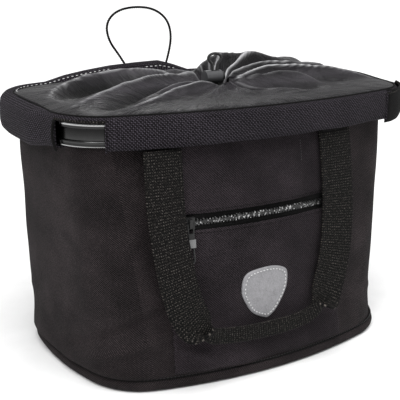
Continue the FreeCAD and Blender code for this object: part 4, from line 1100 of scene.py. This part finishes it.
# The grip hangs a little higher than the webbing's full length, drawn up by the fold at its corners.
HANDLE_DRAW = 0.962


def make_handle(name, centre, side, lean):
    """A webbing handle, flat down its legs and folded in half lengthwise along its grip."""
    path = smooth_path([(x, (up - PIVOT_HEIGHT) * HANDLE_DRAW, 0.0) for x, up in HANDLE_PATH], 10)[:, :2]
    tangents = np.gradient(path, axis=0)
    tangents /= np.linalg.norm(tangents, axis=1)[:, None]
    tilt = math.radians(lean)
    rows = []
    across = np.linspace(-HALF_WEBBING, HALF_WEBBING, 19)
    for (x, up), (along_x, along_up) in zip(path, tangents):
        inner = np.array([-along_up, along_x])
        fold = 1.0 / (1.0 + math.exp((abs(x + 2) - 62.0) / 2.6))
        twist = 0.8 * noise.noise(Vector((x * 0.02, up * 0.02, centre * 0.1)))
        row = []
        for offset in across:
            turn = math.pi * (1 - fold) + 0.05 * fold
            if offset < 0:
                away, out = -offset * math.cos(turn), -offset * math.sin(turn) * 0.5 + 2.6 * fold
            else:
                away, out = offset, 0.0
            away = away * (1 - 0.18 * fold) - 7.4 * fold
            bow = 0.5 * math.cos(offset / HALF_WEBBING * 1.5)
            spot = np.array([x, up]) + inner * away
            local_y = 6.0 - out - twist - bow - 1.2 * fold
            y = local_y * math.cos(tilt) + spot[1] * math.sin(tilt)
            z = -local_y * math.sin(tilt) + spot[1] * math.cos(tilt)
            row.append((centre + side * spot[0], side * (y - PIVOT_OUT), PIVOT_HEIGHT + z))
        rows.append(row)
    down = lengths([(x, up, 0) for x, up in path])
    made = grid(f"{name}_webbing", rows, across, down, WEBBING, "webbing", body=f"{name}_body", skin=1.8)
    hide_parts(name)


def make_handles():
    make_handle("front_handle", -14.1, 1, 9.9)
    make_handle("rear_handle", 0.0, -1, 1.4)


make_wall()
make_base()
make_band()
make_cover()
make_pocket()
make_patch()
make_handles()

# ---- materials of the CAD nodes that stay in view ----

CARRIED = {
    "rim_frame": ALUMINIUM, "frame_joint_plate": STEEL, "frame_rivets": STEEL, "base_board": BOARD,
    "back_stiffener": BOARD, "cord_lock_body": GREY_PLASTIC, "cord_lock_button": BLACK_PLASTIC,
    "cord_lock_spring": STEEL, "zipper_tape_lower": TAPE, "zipper_tape_upper": TAPE,
    "zipper_teeth_lower": TEETH, "zipper_teeth_upper": TEETH, "zipper_stops": TEETH,
    "zipper_slider": DARK_METAL, "zipper_pull": DARK_METAL, "pull_tab": TAB_PLASTIC,
    "front_handle_anchors": ANCHOR, "rear_handle_anchors": ANCHOR, "back_plate": BLACK_PLASTIC,
    "back_plate_screws": STEEL, "back_plate_nuts": STEEL, "adapter_housing": BLACK_PLASTIC,
    "clamp_cap_left": BLACK_PLASTIC, "clamp_cap_right": BLACK_PLASTIC, "clamp_screws": STEEL,
    "cable_set_screws": STEEL, "release_button": GREY_PLASTIC, "button_spring": STEEL,
}
for node_name, material in CARRIED.items():
    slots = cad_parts[node_name].data.materials
    for place in range(len(slots)):
        slots[place] = material
    if not slots:
        slots.append(material)

# ---- floor and light ----


def make_stage():
    """A pale paper floor, an even white surround, a soft sun and two weak lamps."""
    mesh = bpy.data.meshes.new("floor")
    half = 25.0
    mesh.from_pydata([(-half, -half, -0.0005), (half, -half, -0.0005), (half, half, -0.0005),
                      (-half, half, -0.0005)], [], [(0, 1, 2, 3)])
    floor = bpy.data.objects.new("floor", mesh)
    bpy.context.scene.collection.objects.link(floor)
    paper = Recipe("floor_paper", 0.9)
    grain = paper.noise(paper.place("Object"), 30.0)
    tone = paper.ramp(grain, [(0.3, (0.86, 0.86, 0.86)), (0.7, (0.9, 0.9, 0.9))])
    mesh.materials.append(paper.finish(tone, paper.bump(grain, 0.0002, 0.2)))
    world = bpy.data.worlds.new("studio")
    bpy.context.scene.world = world
    world.use_nodes = True
    world.node_tree.nodes["Background"].inputs["Color"].default_value = (1.0, 1.0, 1.0, 1.0)
    world.node_tree.nodes["Background"].inputs["Strength"].default_value = 0.5
    sun = bpy.data.lights.new("overhead", "SUN")
    sun.angle = math.radians(50.0)
    sun.energy = 2.9
    hung = bpy.data.objects.new("overhead", sun)
    hung.rotation_euler = Vector((0.12, 0.34, -1.0)).to_track_quat("-Z", "Y").to_euler()
    bpy.context.scene.collection.objects.link(hung)
    lamps = (("key", (-1.2, -0.9, 1.2), 0.5, 6.0), ("back", (0.9, 1.6, 1.2), 0.35, 2.5))
    for name, place, size, power in lamps:
        lamp = bpy.data.lights.new(name, "AREA")
        lamp.size = size
        lamp.energy = power
        holder = bpy.data.objects.new(name, lamp)
        bpy.context.scene.collection.objects.link(holder)
        direction = Vector((0, 0, 0.15)) - Vector(place)
        holder.location = place
        holder.rotation_euler = direction.to_track_quat("-Z", "Y").to_euler()
    bpy.context.scene.view_settings.view_transform = "Standard"


make_stage()
